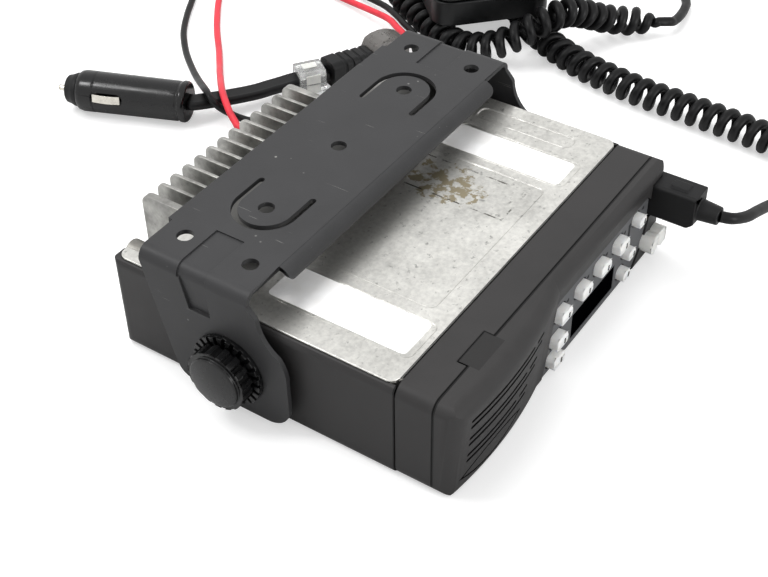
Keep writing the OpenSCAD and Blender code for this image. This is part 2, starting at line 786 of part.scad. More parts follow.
// Knob in its own frame: axis along X, outward, from the face against the washer
module knob_shape() {
    r = knob_dia / 2;
    dome_r = 45;
    difference() {
        intersection() {
            union() {
                rod_x(0, knob_t - 2.6, r);
                rod_x(0, knob_t, r - 1.9);
            }
            translate([knob_t - dome_r, 0, 0]) rotate([0, 90, 0]) sphere(dome_r, $fn = 96);
        }
        for (i = [0:knob_scallops - 1])
            rotate([360 * i / knob_scallops, 0, 0])
                translate([0, 0, r - 0.1]) rod_x(-1, knob_t - 2.8, 1.1);
        rod_x(-1, 5, stud_r);
    }
}

module stud_shape() {
    rod_x(-18.5, -7.9, stud_r);
    rod_x(-8, -0.1, shoulder_r);
    rod_x(-0.2, 4.8, stud_r);
}

module on_pivot(side) {
    mirror([side < 0 ? 1 : 0, 0, 0]) translate([knob_in, pivot_y, pivot_z]) children();
}

module knob_left() color([0.06, 0.06, 0.06]) on_pivot(-1) knob_shape();

module knob_right() color([0.06, 0.06, 0.06]) on_pivot(1) knob_shape();

module stud_left() color([0.7, 0.7, 0.7]) on_pivot(-1) stud_shape();

module stud_right() color([0.7, 0.7, 0.7]) on_pivot(1) stud_shape();

// Key: rounded cap with a crowned face and a flange that keeps it behind the panel
module key(i) color([0.93, 0.93, 0.91]) {
    p = key_places[i];
    face_r = 9;
    front = panel_y - key_reach;
    intersection() {
        along_y(front, panel_y + 2.6) key_2d(i, 0);
        translate([0, front + face_r, p.y]) rod_x(p.x - 10, p.x + 10, face_r);
    }
    along_y(key_back - 1, key_back) key_2d(i, 1.8);
}

module key_1() key(0);

module key_2() key(1);

module key_3() key(2);

module key_4() key(3);

module key_5() key(4);

module key_6() key(5);

module key_7() key(6);

module key_8() key(7);

module key_9() key(8);

// Volume rocker: two lobes with a dip between them and a flange behind the panel, tilting about Z
module volume_rocker() color([0.78, 0.78, 0.76]) {
    front = panel_y - 5.6;
    face_r = 12;
    intersection() {
        along_y(front, panel_y + 3.4) rocker_2d(0);
        union() {
            for (s = [-1, 1])
                translate([rocker_x + s * 4.4, front + face_r, 0]) cylinder(h = 30, r = face_r, $fn = 72);
            span([rocker_x - 20, panel_y - 3.2, 0], [rocker_x + 20, panel_y + 4, 30]);
        }
    }
    span([rocker_x - 4, panel_y + 2.6, rocker_z - 5.8], [rocker_x + 4, panel_y + 3.4, rocker_z + 5.8]);
}

// Microphone plug: boxy moulding with a chamfered lower edge, a raised tab, a nose in the jack and a neck
module plug_side_2d(front, back) {
    low = plug_z - 7.6;
    chamfer = 3;
    polygon([
        [front, low + chamfer], [front + chamfer, low], [back, low], [back, plug_z + 8], [front, plug_z + 8]
    ]);
}

module mic_plug() color([0.09, 0.09, 0.1]) {
    back = panel_y + 1.8;
    front = seam2_y - 24.6;
    neck = tail_route[0];
    intersection() {
        along_y(front, back) translate([plug_x, plug_z + 0.2]) round_box_2d(12, 15.6, 1.6);
        along_x(plug_x - 10, plug_x + 10) plug_side_2d(front, back);
    }
    span([plug_x - 3, front + 5, plug_z + 7.5], [plug_x + 2, front + 12.5, plug_z + 8.9]);
    span([plug_x - 4.4, back - 0.1, plug_z - 4], [plug_x + 2.4, panel_y + 12, plug_z + 4]);
    translate([plug_x, front + 0.1, plug_z]) rotate([90, 0, 0])
        cylinder(h = front - neck.y + 0.1, r1 = 4.6, r2 = 3.8);
}

module mic_cord_tail() color([0.1, 0.1, 0.1])
    cord(tail_route, cord_dia / 2, cord_dia / 2, 8, 2.2 * cord_dia);

// Helix round the smooth route, its radius growing from the middle over the first and last curls
coil_fine = smooth(coil_route, 6);
coil_run = run_lengths(coil_fine);
coil_total = coil_run[len(coil_run) - 1];
coil_curls = floor(coil_total / curl_pitch);
coil_steps = 8 * coil_curls;
grow_curls = 1.5;

function coil_point(i, axis) = let (
        t = heading(axis, i), u = side_of(t), v = cross(u, t),
        near_end = min(i, coil_steps - i) / 8,
        r = curl_r * min(1, near_end / grow_curls))
    axis[i] + r * (cos(45 * i) * u + sin(45 * i) * v);

// The curls, with a straight end one cord diameter long at each side
function coil_points() = let (
        axis = even_points(coil_fine, coil_steps),
        helix = [for (i = [0:coil_steps]) coil_point(i, axis)],
        first = axis[0] - cord_dia * heading(axis, 0),
        last = axis[coil_steps] + cord_dia * heading(axis, coil_steps))
    concat([first], helix, [last]);

function least_gap(p) = let (last = len(p) - 1)
    min([for (i = [0:last]) for (j = [i + 6:1:last]) norm(p[i] - p[j])]) - cord_dia;

module mic_cord_coil() color([0.08, 0.08, 0.08]) {
    points = coil_points();
    echo(curls = coil_curls, least_gap_between_curls = least_gap(points));
    swept(points, cord_dia / 2, cord_dia / 2, 6);
}

module mic_cord_lead() color([0.1, 0.1, 0.1])
    cord(lead_route, cord_dia / 2, cord_dia / 2, 8, 2.2 * cord_dia);

// Hand microphone: two shells, talk bar on its side, clip stud on its back
module on_microphone() {
    translate(mic_pos) rotate([0, 0, mic_turn]) children();
}

module mic_outline_2d(inset) {
    wide = mic_w / 2 - 9;
    narrow = mic_w / 2 - 14;
    hull() {
        for (s = [-1, 1]) {
            translate([s * wide, 10]) circle(10 - inset, $fn = 32);
            translate([s * (wide + 1), 38]) circle(9 - inset, $fn = 32);
            translate([s * narrow, mic_len - 8]) circle(8 - inset, $fn = 32);
        }
    }
}

module mic_rear_shell() color([0.17, 0.17, 0.18]) on_microphone() {
    difference() {
        linear_extrude(mic_split - 0.1) mic_outline_2d(0);
        translate([0, 0, 2.2]) linear_extrude(mic_split) mic_outline_2d(2.4);
        translate([0, mic_len / 2, mic_split]) rotate([-90, 0, 0]) cylinder(h = mic_len, r = 4.2);
        translate([0, 40, -1]) cylinder(h = 10, r = 2.5);
        span([-mic_w, 20, 6], [-mic_w / 2 + 7, 56, 30]);
    }
}

module mic_front_shell() color([0.1, 0.1, 0.11]) on_microphone() {
    difference() {
        union() {
            translate([0, 0, mic_split + 0.1]) linear_extrude(mic_h - mic_split - 3) mic_outline_2d(0.8);
            translate([0, 0, mic_split]) linear_extrude(mic_h - mic_split) mic_outline_2d(4.5);
        }
        translate([0, 0, mic_split - 1]) linear_extrude(mic_h - mic_split - 2) mic_outline_2d(6.4);
        translate([0, mic_len / 2, mic_split]) rotate([-90, 0, 0]) cylinder(h = mic_len, r = 4.2);
        span([-mic_w, 20, 6], [-mic_w / 2 + 7, 56, mic_split + 7]);
        for (x = [-8:4:8])
            translate([x, 32, mic_h - 4]) cylinder(h = 6, r = 1.2);
        span([-mic_w, -1, mic_split - 5], [mic_w, mic_len + 1, mic_split + 0.1]);
    }
}

module mic_element() color([0.6, 0.6, 0.6]) on_microphone()
    translate([0, 32, mic_h - 9]) cylinder(h = 5.8, r = 5);

module mic_board() color([0.1, 0.35, 0.2]) on_microphone()
    span([-15, 14, 8], [17, 74, 9.6]);

module ptt_switch() color([0.1, 0.1, 0.1]) on_microphone()
    span([-19.4, 34, 9.7], [-13.4, 42, 16]);

module ptt_button() color([0.06, 0.06, 0.06]) on_microphone() {
    span([-mic_w / 2 - 2.5, 20.5, 6.5], [-mic_w / 2 + 3, 55.5, mic_split + 6.5]);
    span([-mic_w / 2 + 2.9, 36, 11], [-mic_w / 2 + 5.4, 40, 14]);
}

module mic_clip_stud() color([0.75, 0.75, 0.76]) on_microphone() {
    translate([0, 40, 0]) {
        translate([0, 0, -3.6]) cylinder(h = 1.6, r = 6);
        translate([0, 0, -2.1]) cylinder(h = 7, r = 2.4);
    }
}

module mic_relief() color([0.08, 0.08, 0.08]) on_microphone()
    translate([0, mic_len - 6, mic_split]) rotate([-90, 0, 0]) difference() {
        union() {
            cylinder(h = 8, r = 4.1);
            translate([0, 0, 6.1]) cylinder(h = 2, r = 5.6);
            translate([0, 0, 8]) cylinder(h = 15, r1 = 4.4, r2 = 3.2);
        }
        for (z = [10:3:19])
            translate([0, 0, z]) difference() {
                cylinder(h = 1.2, r = 6);
                cylinder(h = 1.2, r = 2.9);
            }
    }

// Power lead: two-pole plug, red and black lead, nylon connector, boot, marker and twin lead
module power_plug() color([0.12, 0.12, 0.12]) {
    at_inlet(6.4, 4.4, -6.6, plug_reach - 6);
    at_inlet(7.4, 5.4, 4, plug_reach);
}

module red_lead() color([0.88, 0.16, 0.2])
    cord(red_route, lead_dia / 2, lead_dia / 2, 8, 2.4 * lead_dia);

module black_lead() color([0.12, 0.12, 0.12])
    cord(black_route, lead_dia / 2, lead_dia / 2, 8, 2.4 * lead_dia);

module on_joint() {
    translate(join_pos) rotate([0, 0, join_turn]) children();
}

module hood_2d() {
    end = boot_len + connector_len;
    polygon([
        [24, 3.8], [26, 7.4], [29, 9.6], [33, 10.2], [38, 8.6], [end, 5.6], [end, -5], [29, -5.6], [25, -5]
    ]);
}

module lead_connector() color([0.82, 0.8, 0.76]) on_joint() {
    end = boot_len + connector_len;
    difference() {
        intersection() {
            along_y(-7, 7) hood_2d();
            along_x(22.5, end) translate([0, 2.8]) round_box_2d(13.6, 16.8, 5);
        }
        along_x(10, boot_len + 0.1) round_box_2d(11.4, 8.6, 2.4);
        for (y = [-2.3, 2.3])
            translate([end - 5, y, 0]) rod_x(0, 6, lead_dia / 2 + 0.3);
    }
}

module lead_boot() color([0.1, 0.1, 0.11]) on_joint() {
    along_x(0.1, 6.4) round_box_2d(13.4, 13.4, 3.4);
    along_x(6.3, 8.2) round_box_2d(11.8, 11.6, 3);
    along_x(8.1, 10.4) round_box_2d(13, 12.6, 3.2);
    along_x(10.3, 12.2) round_box_2d(11.4, 10.4, 2.8);
    along_x(12.1, 15) round_box_2d(12.6, 11.6, 2.8);
    along_x(14.9, 16.8) round_box_2d(11.2, 9.6, 2.6);
    along_x(16.7, 19.4) round_box_2d(12.2, 10.8, 2.8);
    along_x(19.3, 21.2) round_box_2d(11.2, 9.6, 2.6);
    along_x(21.1, 23.8) round_box_2d(12, 10.6, 2.8);
    along_x(23.7, boot_len) round_box_2d(11, 8.2, 2.2);
}

module marker_sleeve() color([0.86, 0.87, 0.86]) {
    run = marker_to - marker_from;
    translate((marker_from + marker_to) / 2) rotate([0, 0, atan2(run.y, run.x)]) difference() {
        along_x(-6.6, 6.6) round_box_2d(13.2, 12.4, 2.4);
        along_x(-7, 7) square([2 * twin_half[0] + 0.6, 2 * twin_half[1] + 0.6], center = true);
    }
}

module twin_lead() color([0.1, 0.1, 0.1]) cord(twin_route, twin_half[0], twin_half[1], 12, 9);

// Lighter plug in its own frame: nose at the origin, axis along +Z to the cord
module on_lighter() {
    translate(lighter_pos) rotate([90, 0, lighter_turn]) rotate(lighter_roll) children();
}

module lighter_body() color([0.07, 0.07, 0.08]) on_lighter() {
    r = lighter_r;
    rear = lighter_end;
    difference() {
        rotate_extrude() polygon([
            [0, 11], [r - 1.5, 11], [r - 0.5, 12], [r, 14], [r, 19.4], [r - 0.3, 19.7], [r - 0.3, 20],
            [r - 0.05, 20.3], [r - 0.3, rear - 5], [r - 0.7, rear - 4.2], [r - 0.7, rear - 3.8],
            [r, rear - 2.8], [r, rear - 1.4], [r - 0.4, rear - 0.5], [r - 1.4, rear], [0, rear]
        ]);
        // Room for the sprung tip, then the seat of the fuse
        translate([0, 0, 10]) cylinder(h = 6.4, r = 4);
        translate([0, 0, 16]) cylinder(h = 30.1, r = fuse_r + 0.1);
        both_sides() along_x(r - 2.4, r + 1) translate([0, contact_mid]) rotate(90) long_hole_2d(15.6, 4.8);
    }
}

module lighter_nose() color([0.1, 0.1, 0.1]) on_lighter()
    rotate_extrude() polygon([
        [1.5, 4.8], [6, 4.8], [6.6, 5.4], [7, 7.2], [8, 9.4], [8, 10.9], [2.4, 10.9], [2.4, 7.4], [1.5, 7.4]
    ]);

module lighter_tip() color([0.8, 0.8, 0.78]) on_lighter() {
    translate([0, 0, 0.6]) cylinder(h = 10.6, r = 1.4);
    cylinder(h = 0.61, r1 = 1, r2 = 1.4);
    translate([0, 0, 11.1]) cylinder(h = 2, r = 3.6);
}

module lighter_fuse() color([0.75, 0.72, 0.62]) on_lighter()
    translate([0, 0, 16.5]) cylinder(h = 29.5, r = fuse_r);

// Spring contact in the side of the plug, bowed outwards
module contact_shape() {
    r = lighter_r;
    bow_r = 26;
    half_l = 6.8;
    intersection() {
        span([r - 2.2, -1.9, contact_mid - half_l], [r + 1.6, 1.9, contact_mid + half_l]);
        translate([r + 0.9 - bow_r, 0, contact_mid]) rotate([90, 0, 0]) difference() {
            cylinder(h = 6, r = bow_r, center = true, $fn = 180);
            cylinder(h = 8, r = bow_r - 1, center = true, $fn = 180);
        }
    }
}

module contact_left() color([0.8, 0.8, 0.78]) on_lighter() mirror([1, 0, 0]) contact_shape();

module contact_right() color([0.8, 0.8, 0.78]) on_lighter() contact_shape();

chassis_casting();
case_cover();
front_frame();
front_bezel();
keypad_panel();
display_window();
lcd_module();
keypad_mat();
control_board();
speaker();
mic_jack();
main_board();
rf_shield();
power_module();
board_screws();
pivot_inserts();
pivot_washers();
antenna_socket();
power_socket();
bracket();
lock_washers();
knob_left();
knob_right();
stud_left();
stud_right();
key_1();
key_2();
key_3();
key_4();
key_5();
key_6();
key_7();
key_8();
key_9();
volume_rocker();
mic_plug();
mic_cord_tail();
mic_cord_coil();
mic_cord_lead();
mic_relief();
mic_rear_shell();
mic_front_shell();
mic_element();
mic_board();
ptt_button();
ptt_switch();
mic_clip_stud();
power_plug();
red_lead();
black_lead();
lead_connector();
lead_boot();
marker_sleeve();
twin_lead();
lighter_body();
lighter_nose();
lighter_tip();
lighter_fuse();
contact_left();
contact_right();
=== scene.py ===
"""Mobile two-way radio with bracket, hand microphone and power lead, dressed on its CAD frame."""

import json
import math

import bmesh
import bpy
from mathutils import Matrix, Vector

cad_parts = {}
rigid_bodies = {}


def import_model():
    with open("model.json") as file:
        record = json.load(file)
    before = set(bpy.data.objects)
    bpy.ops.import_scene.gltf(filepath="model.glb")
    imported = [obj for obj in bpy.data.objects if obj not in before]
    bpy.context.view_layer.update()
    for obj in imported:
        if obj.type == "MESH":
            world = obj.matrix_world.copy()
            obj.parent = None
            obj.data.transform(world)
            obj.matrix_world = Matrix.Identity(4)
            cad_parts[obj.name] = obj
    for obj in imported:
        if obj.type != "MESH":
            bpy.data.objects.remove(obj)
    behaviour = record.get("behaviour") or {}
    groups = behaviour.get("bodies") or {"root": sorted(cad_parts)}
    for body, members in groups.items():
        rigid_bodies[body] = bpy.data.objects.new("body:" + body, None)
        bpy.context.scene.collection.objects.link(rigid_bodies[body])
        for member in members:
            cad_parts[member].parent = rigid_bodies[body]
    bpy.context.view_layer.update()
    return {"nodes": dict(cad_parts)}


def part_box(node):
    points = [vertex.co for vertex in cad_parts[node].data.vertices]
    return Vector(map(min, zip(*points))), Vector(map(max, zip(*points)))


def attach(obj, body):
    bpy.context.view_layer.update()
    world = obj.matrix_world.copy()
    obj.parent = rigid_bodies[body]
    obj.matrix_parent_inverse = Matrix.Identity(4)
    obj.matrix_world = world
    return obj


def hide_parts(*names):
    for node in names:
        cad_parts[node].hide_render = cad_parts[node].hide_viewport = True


bl_info = {
    "name": "Mobile radio",
    "version": (1, 0, 0),
    "blender": (4, 5, 0),
    "location": "View3D > Sidebar > Mobile radio",
    "description": "Cords, labels, finishes and stage of a mobile radio, built round its CAD parts",
    "category": "Object",
}

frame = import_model()
NODES = frame["nodes"]
MM = 0.001

KEY_NAMES = [f"key_{number}" for number in range(1, 10)]

# Height of the casting's top, read from the CAD part, in millimetres
BASE_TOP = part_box("chassis_casting")[1].z / MM


def linear(code):
    """An sRGB hex colour as linear RGBA."""
    parts = [int(code[i : i + 2], 16) / 255 for i in (1, 3, 5)]
    curve = [c / 12.92 if c <= 0.04045 else ((c + 0.055) / 1.055) ** 2.4 for c in parts]
    return (*curve, 1.0)


def per_mm(size):
    """A texture scale whose cells are that many millimetres wide."""
    return 1000.0 / size


def length_value(label, text, millimetres):
    """A length of the panel, given in millimetres and kept in metres."""
    return bpy.props.FloatProperty(
        name=label, description=text, default=millimetres * MM, unit="LENGTH", precision=5
    )


def colour_value(label, text, code):
    """A colour of the panel, given as sRGB hex."""
    return bpy.props.FloatVectorProperty(
        name=label, description=text, default=linear(code)[:3], subtype="COLOR", min=0, max=1
    )


def number_value(label, text, value):
    """A plain number of the panel."""
    return bpy.props.FloatProperty(name=label, description=text, default=value)


class RadioCords(bpy.types.PropertyGroup):
    """Sizes of the cords."""

    cord_width: length_value("Microphone cord", "Diameter of the microphone cord", 4.8)
    curl_radius: length_value("Curl radius", "Radius of the curls, to the middle of the cord", 5.1)
    curl_pitch: length_value("Curl pitch", "Distance from curl to curl along the cord", 7.2)
    lead_width: length_value("Lead", "Diameter of the red and of the black lead", 3.4)
    twin_width: length_value("Twin lead width", "Width of the flat twin lead", 9.6)
    twin_height: length_value("Twin lead height", "Height of the flat twin lead", 5.2)


class RadioColours(bpy.types.PropertyGroup):
    """Main colours of the finishes."""

    casting: colour_value("Casting", "Bare die-cast aluminium", "#DDDCD7")
    coat: colour_value("Bracket", "Powder coat of the bracket", "#313132")
    moulding: colour_value("Case", "Textured black moulding", "#2E2D2D")
    panel: colour_value("Keypad panel", "Panel round the keys", "#57585A")
    key: colour_value("Keys", "Translucent white keys", "#FAFAF8")
    rocker: colour_value("Rocker", "Translucent grey rocker", "#F2F2EE")
    red_lead: colour_value("Red lead", "Jacket of the red lead", "#D63744")
    label: colour_value("Labels", "Blank paper labels", "#FDFCFA")


class RadioStage(bpy.types.PropertyGroup):
    """Camera and light."""

    camera_x: length_value("Camera X", "Place of the camera", -351.589)
    camera_y: length_value("Camera Y", "Place of the camera", -232.613)
    camera_z: length_value("Camera Z", "Place of the camera", 372.564)
    azimuth: number_value("Azimuth", "Direction of view round the object, in degrees", -55.67)
    elevation: number_value("Elevation", "Height of view above the horizon, in degrees", 41.436)
    roll: number_value("Roll", "Turn of the picture, in degrees", -0.927)
    lens: number_value("Lens", "Focal length in millimetres on a 36 mm sensor", 64.85)
    horizon: number_value("Horizon", "Strength of the sky near the horizon", 0.16)
    zenith: number_value("Zenith", "Strength of the sky overhead", 0.8)
    softbox: number_value("Softbox", "Power of the overhead lamp, in watts", 15.0)
    front_lamp: number_value("Front lamp", "Power of the front lamp, in watts", 7.5)
    key_lamp: number_value("Key lamp", "Power of the small lamp at the rear left, in watts", 2.0)


# Where the scene keeps each group of values
GROUPS = {
    "mobile_radio_cords": RadioCords,
    "mobile_radio_colours": RadioColours,
    "mobile_radio_stage": RadioStage,
}


def cord_sizes():
    """The sizes of the cords."""
    return bpy.context.scene.mobile_radio_cords


def colours():
    """The main colours."""
    return bpy.context.scene.mobile_radio_colours


def add_node(tree, kind, inputs=None, **values):
    """A node with its settings, and its sockets set to values or linked to other sockets."""
    made = tree.nodes.new(kind)
    for name, value in values.items():
        setattr(made, name, value)
    for name, value in (inputs or {}).items():
        if isinstance(value, bpy.types.NodeSocket):
            tree.links.new(value, made.inputs[name])
        else:
            made.inputs[name].default_value = value
    return made


def maths(tree, operation, first, second, clamp=False):
    """The result of a sum on two values or sockets."""
    made = add_node(
        tree, "ShaderNodeMath", {0: first, 1: second}, operation=operation, use_clamp=clamp
    )
    return made.outputs["Value"]


def vector_maths(tree, operation, first, second=(0.0, 0.0, 0.0)):
    """The result of a sum on vectors: a value for a length, and a vector otherwise."""
    made = add_node(tree, "ShaderNodeVectorMath", {0: first, 1: second}, operation=operation)
    return made.outputs["Value" if operation == "LENGTH" else "Vector"]


def ranged(tree, value, low, high, start=0.0, end=1.0, curve="LINEAR"):
    """A value that goes from low to high while another goes from start to end."""
    made = add_node(
        tree,
        "ShaderNodeMapRange",
        {"Value": value, "From Min": start, "From Max": end, "To Min": low, "To Max": high},
        interpolation_type=curve,
    )
    return made.outputs["Result"]


def mixed(tree, share, first, second):
    """A colour between two colours."""
    made = add_node(
        tree,
        "ShaderNodeMix",
        {"Factor": share, "A": first, "B": second},
        data_type="RGBA",
        clamp_factor=True,
    )
    return made.outputs["Result"]


def start_material(name, **surface):
    """A new material: its tree, its shader and the Object coordinates."""
    material = bpy.data.materials.new(name)
    material.use_nodes = True
    tree = material.node_tree
    shader = tree.nodes["Principled BSDF"]
    for socket, value in surface.items():
        shader.inputs[socket.replace("_", " ")].default_value = value
    place = add_node(tree, "ShaderNodeTexCoord").outputs["Object"]
    return material, tree, shader, place


def dress(tree, shader, colour, gloss):
    """Links a colour and a roughness to a material's shader."""
    tree.links.new(colour, shader.inputs["Base Color"])
    tree.links.new(gloss, shader.inputs["Roughness"])


def shade(colour, share):
    """A colour made darker or lighter by a share."""
    return (*[min(1.0, c * share) for c in colour[:3]], 1.0)


def drift(tree, place, size, low, high, contrast=0.18, detail=4.0):
    """A value that drifts between two levels over patches of that size in millimetres."""
    cloud = add_node(
        tree,
        "ShaderNodeTexNoise",
        {"Vector": place, "Scale": per_mm(size), "Detail": detail, "Roughness": 0.6},
    )
    return ranged(tree, cloud.outputs["Fac"], low, high, start=0.5 - contrast, end=0.5 + contrast)


def relief(tree, shader, place, size, depth, strength=0.35):
    """Small bumps of the skin, by their size and depth in millimetres."""
    height = drift(tree, place, size, 0.0, 1.0, contrast=0.3)
    bump = add_node(
        tree, "ShaderNodeBump", {"Height": height, "Strength": strength, "Distance": depth * MM}
    )
    tree.links.new(bump.outputs["Normal"], shader.inputs["Normal"])


def uneven(name, colour, *, spread, patch, rough, grain, depth, **surface):
    """The common make-up of a finish: drifting colour and gloss, and a grain in the skin.

    The patches, and the grain's size and depth, are in millimetres; rough holds two roughnesses.
    """
    material, tree, shader, place = start_material(name, **surface)
    share = drift(tree, place, patch, 0.0, 1.0)
    tint = mixed(tree, share, shade(colour, 1 - spread), shade(colour, 1 + spread))
    dress(tree, shader, tint, ranged(tree, share, *rough))
    relief(tree, shader, place, grain, depth)
    return material


def moulded_plastic(name, colour, rough=0.5, grain=0.7):
    """Plastic from an eroded mould: a dull, finely pebbled skin with slightly uneven gloss.

    The pebbles are drawn coarser than the real 0.1 mm, so that they show.
    """
    return uneven(
        name,
        colour,
        spread=0.12,
        patch=16,
        rough=(rough - 0.06, rough + 0.06),
        grain=grain,
        depth=0.05,
        Specular_IOR_Level=0.3,
    )


def from_middle(tree, place, middle, half):
    """A place as shares of a field's half size, from its middle, both given in millimetres."""
    centred = vector_maths(tree, "SUBTRACT", place, middle * MM)
    return vector_maths(tree, "DIVIDE", centred, half * MM)


def inside_box(tree, place, low, high):
    """1 inside a box given by its corners in millimetres, and 0 outside."""
    middle = (Vector(low) + Vector(high)) / 2
    half = (Vector(high) - Vector(low)) / 2
    reach = vector_maths(tree, "ABSOLUTE", from_middle(tree, place, middle, half))
    parts = add_node(tree, "ShaderNodeSeparateXYZ", {"Vector": reach}).outputs
    most = maths(tree, "MAXIMUM", maths(tree, "MAXIMUM", parts["X"], parts["Y"]), parts["Z"])
    return maths(tree, "LESS_THAN", most, 1.0)


def distance_from(tree, place, middle, half):
    """0 in the middle of an egg-shaped field given in millimetres, and 1 on its edge."""
    return vector_maths(tree, "LENGTH", from_middle(tree, place, middle, half))


# Fields on the casting, in millimetres: a torn-off sticker and its dirty edge, its glue, the
# painted shade under the bracket's plate, and the fins, which get painted shade too
STICKER = ((13.0, -38.0, 41.0), (33.8, 8.0, 46.0))
STICKER_EDGE = 0.35
GLUE_MIDDLE = Vector((22.0, -7.5, 43.7))
GLUE_HALF = Vector((15.0, 23.0, 4.0))
PLATE_SHADE_MIDDLE = Vector((9.0, 35.0, 43.7))
PLATE_SHADE_HALF = Vector((92.0, 28.0, 4.0))
FINS = ((-60.0, 60.0, -1.0), (80.0, 96.0, 50.0))


def glue_share(tree, place):
    """Share of old glue on the casting: ragged islands that thin out away from the middle."""
    reach = distance_from(tree, place, GLUE_MIDDLE, GLUE_HALF)
    ragged = drift(tree, place, 7, 0.0, 1.0, contrast=0.22, detail=10.0)
    left = maths(tree, "SUBTRACT", ragged, reach)
    share = ranged(tree, left, 0.0, 1.0, start=-0.24, end=-0.16)
    worn = drift(tree, place, 4.5, -0.2, 1.5, contrast=0.06, detail=9.0)
    return maths(tree, "MULTIPLY", share, worn)


def under_plate_shade_share(tree, place):
    """Share of the painted shade under the bracket's plate, full in the middle and fading at its
    edge.
    """
    reach = distance_from(tree, place, PLATE_SHADE_MIDDLE, PLATE_SHADE_HALF)
    return ranged(tree, reach, 1.0, 0.0, start=0.8, end=1.05, curve="SMOOTHSTEP")


def fin_shade_share(tree, place):
    """Share of the painted shade that darkens the fins, broken into clouds."""
    cloud = drift(tree, place, 9, 0.45, 1.0, contrast=0.16, detail=6.0)
    return maths(tree, "MULTIPLY", inside_box(tree, place, *FINS), cloud)


def edge_share(tree, place):
    """Share of the dirt line that the sticker's edge left, broken by wear."""
    edge = Vector((STICKER_EDGE, STICKER_EDGE, 0.0))
    low, high = (Vector(corner) for corner in STICKER)
    outer = inside_box(tree, place, low - edge, high + edge)
    inner = inside_box(tree, place, low + edge, high - edge)
    worn = drift(tree, place, 5, -1.6, 1.6, contrast=0.16, detail=6.0)
    return maths(tree, "MULTIPLY", maths(tree, "SUBTRACT", outer, inner), worn, clamp=True)


def die_cast_aluminium():
    """Bare die-cast aluminium: cloudy flow marks, sandy grain, pores under glue and dirt, painted
    shade.
    """
    base = (*colours().casting, 1.0)
    material, tree, shader, place = start_material("die_cast_aluminium", Metallic=0.92)
    cloud = drift(tree, place, 26, 0.0, 0.5, contrast=0.16, detail=6.0)
    grain = drift(tree, place, 2.2, 0.0, 0.5, contrast=0.22, detail=9.0)
    flow = maths(tree, "ADD", cloud, grain)
    metal = mixed(tree, flow, shade(base, 0.66), shade(base, 1.3))
    covers = (
        (drift(tree, place, 2.6, -2.4, 0.8, contrast=0.2, detail=8.0), shade(base, 0.4)),
        (glue_share(tree, place), linear("#A0967E")),
        # Painted shade under the bracket's plate
        (under_plate_shade_share(tree, place), shade(base, 0.17)),
        # Painted shade on the fins
        (fin_shade_share(tree, place), shade(base, 0.34)),
        (edge_share(tree, place), linear("#55534D")),
    )
    for share, colour in covers:
        metal = mixed(tree, share, metal, colour)
    dress(tree, shader, metal, ranged(tree, flow, 0.46, 0.28))
    relief(tree, shader, place, 0.9, 0.1)
    return material


def powder_coat():
    """Powder-coated steel: orange-peel skin, chipped white specks and a few long fine scratches."""
    base = (*colours().coat, 1.0)
    material, tree, shader, place = start_material("powder_coated_steel", Specular_IOR_Level=0.3)
    share = drift(tree, place, 20, 0.0, 1.0)
    coat = mixed(tree, share, shade(base, 0.88), shade(base, 1.12))
    cells = add_node(
        tree, "ShaderNodeTexVoronoi", {"Vector": place, "Scale": per_mm(6.5), "Randomness": 1.0}
    )
    chips = ranged(tree, cells.outputs["Distance"], 1.0, 0.0, start=0.05, end=0.09)
    some = drift(tree, place, 30, -1.6, 1.0, contrast=0.14)
    slanted = add_node(
        tree,
        "ShaderNodeMapping",
        {"Vector": place, "Rotation": (0.0, 0.0, math.radians(35)), "Scale": (1.0, 0.02, 1.0)},
    )
    lines = drift(tree, slanted.outputs["Vector"], 0.5, -12.0, 0.45, contrast=0.27, detail=2.0)
    specks = maths(tree, "MULTIPLY", chips, some, clamp=True)
    marks = maths(tree, "MAXIMUM", specks, lines, clamp=True)
    worn = mixed(tree, marks, coat, linear("#A9A8A4"))
    dress(tree, shader, worn, ranged(tree, share, 0.42, 0.54))
    relief(tree, shader, place, 0.9, 0.05)
    return material


def gloss_plastic(name, code, rough, level=0.5):
    """Polished plastic: near black, with sharp lights and faint finger smears in the gloss."""
    return uneven(
        name,
        linear(code),
        spread=0.2,
        patch=9,
        rough=(rough, rough + 0.12),
        grain=3.0,
        depth=0.01,
        Specular_IOR_Level=level,
    )


def translucent_key(name, colour):
    """Translucent silicone: soft inner light, satin gloss and faint yellowing."""
    material = uneven(
        name,
        colour,
        spread=0.05,
        patch=5,
        rough=(0.38, 0.46),
        grain=0.8,
        depth=0.02,
        Subsurface_Weight=0.25,
        Subsurface_Scale=0.002,
    )
    shader = material.node_tree.nodes["Principled BSDF"]
    shader.inputs["Subsurface Radius"].default_value = (1.0, 0.9, 0.8)
    return material


def plated_metal(name, code, rough):
    """Plated metal: smooth and bright, with small stains in colour and gloss."""
    return uneven(
        name,
        linear(code),
        spread=0.14,
        patch=4,
        rough=(rough + 0.14, rough),
        grain=2.0,
        depth=0.01,
        Metallic=1.0,
    )


def jacket(name, colour, rough):
    """Soft cord jacket: an even, slightly waxy skin with faint waves."""
    return uneven(
        name,
        colour,
        spread=0.14,
        patch=7,
        rough=(rough - 0.06, rough + 0.08),
        grain=1.6,
        depth=0.04,
        Specular_IOR_Level=0.25,
    )


def clear_plastic(name, code, rough, clear):
    """Clear or milky plastic: light passes through it, with a soft and uneven gloss."""
    return uneven(
        name,
        linear(code),
        spread=0.05,
        patch=3,
        rough=(rough, rough + 0.12),
        grain=2.0,
        depth=0.02,
        Transmission_Weight=clear,
        IOR=1.5,
    )


def paper(name, colour):
    """Coated label paper: nearly even white, greyed a little by wear."""
    return uneven(name, colour, spread=0.06, patch=9, rough=(0.42, 0.55), grain=1.5, depth=0.01)


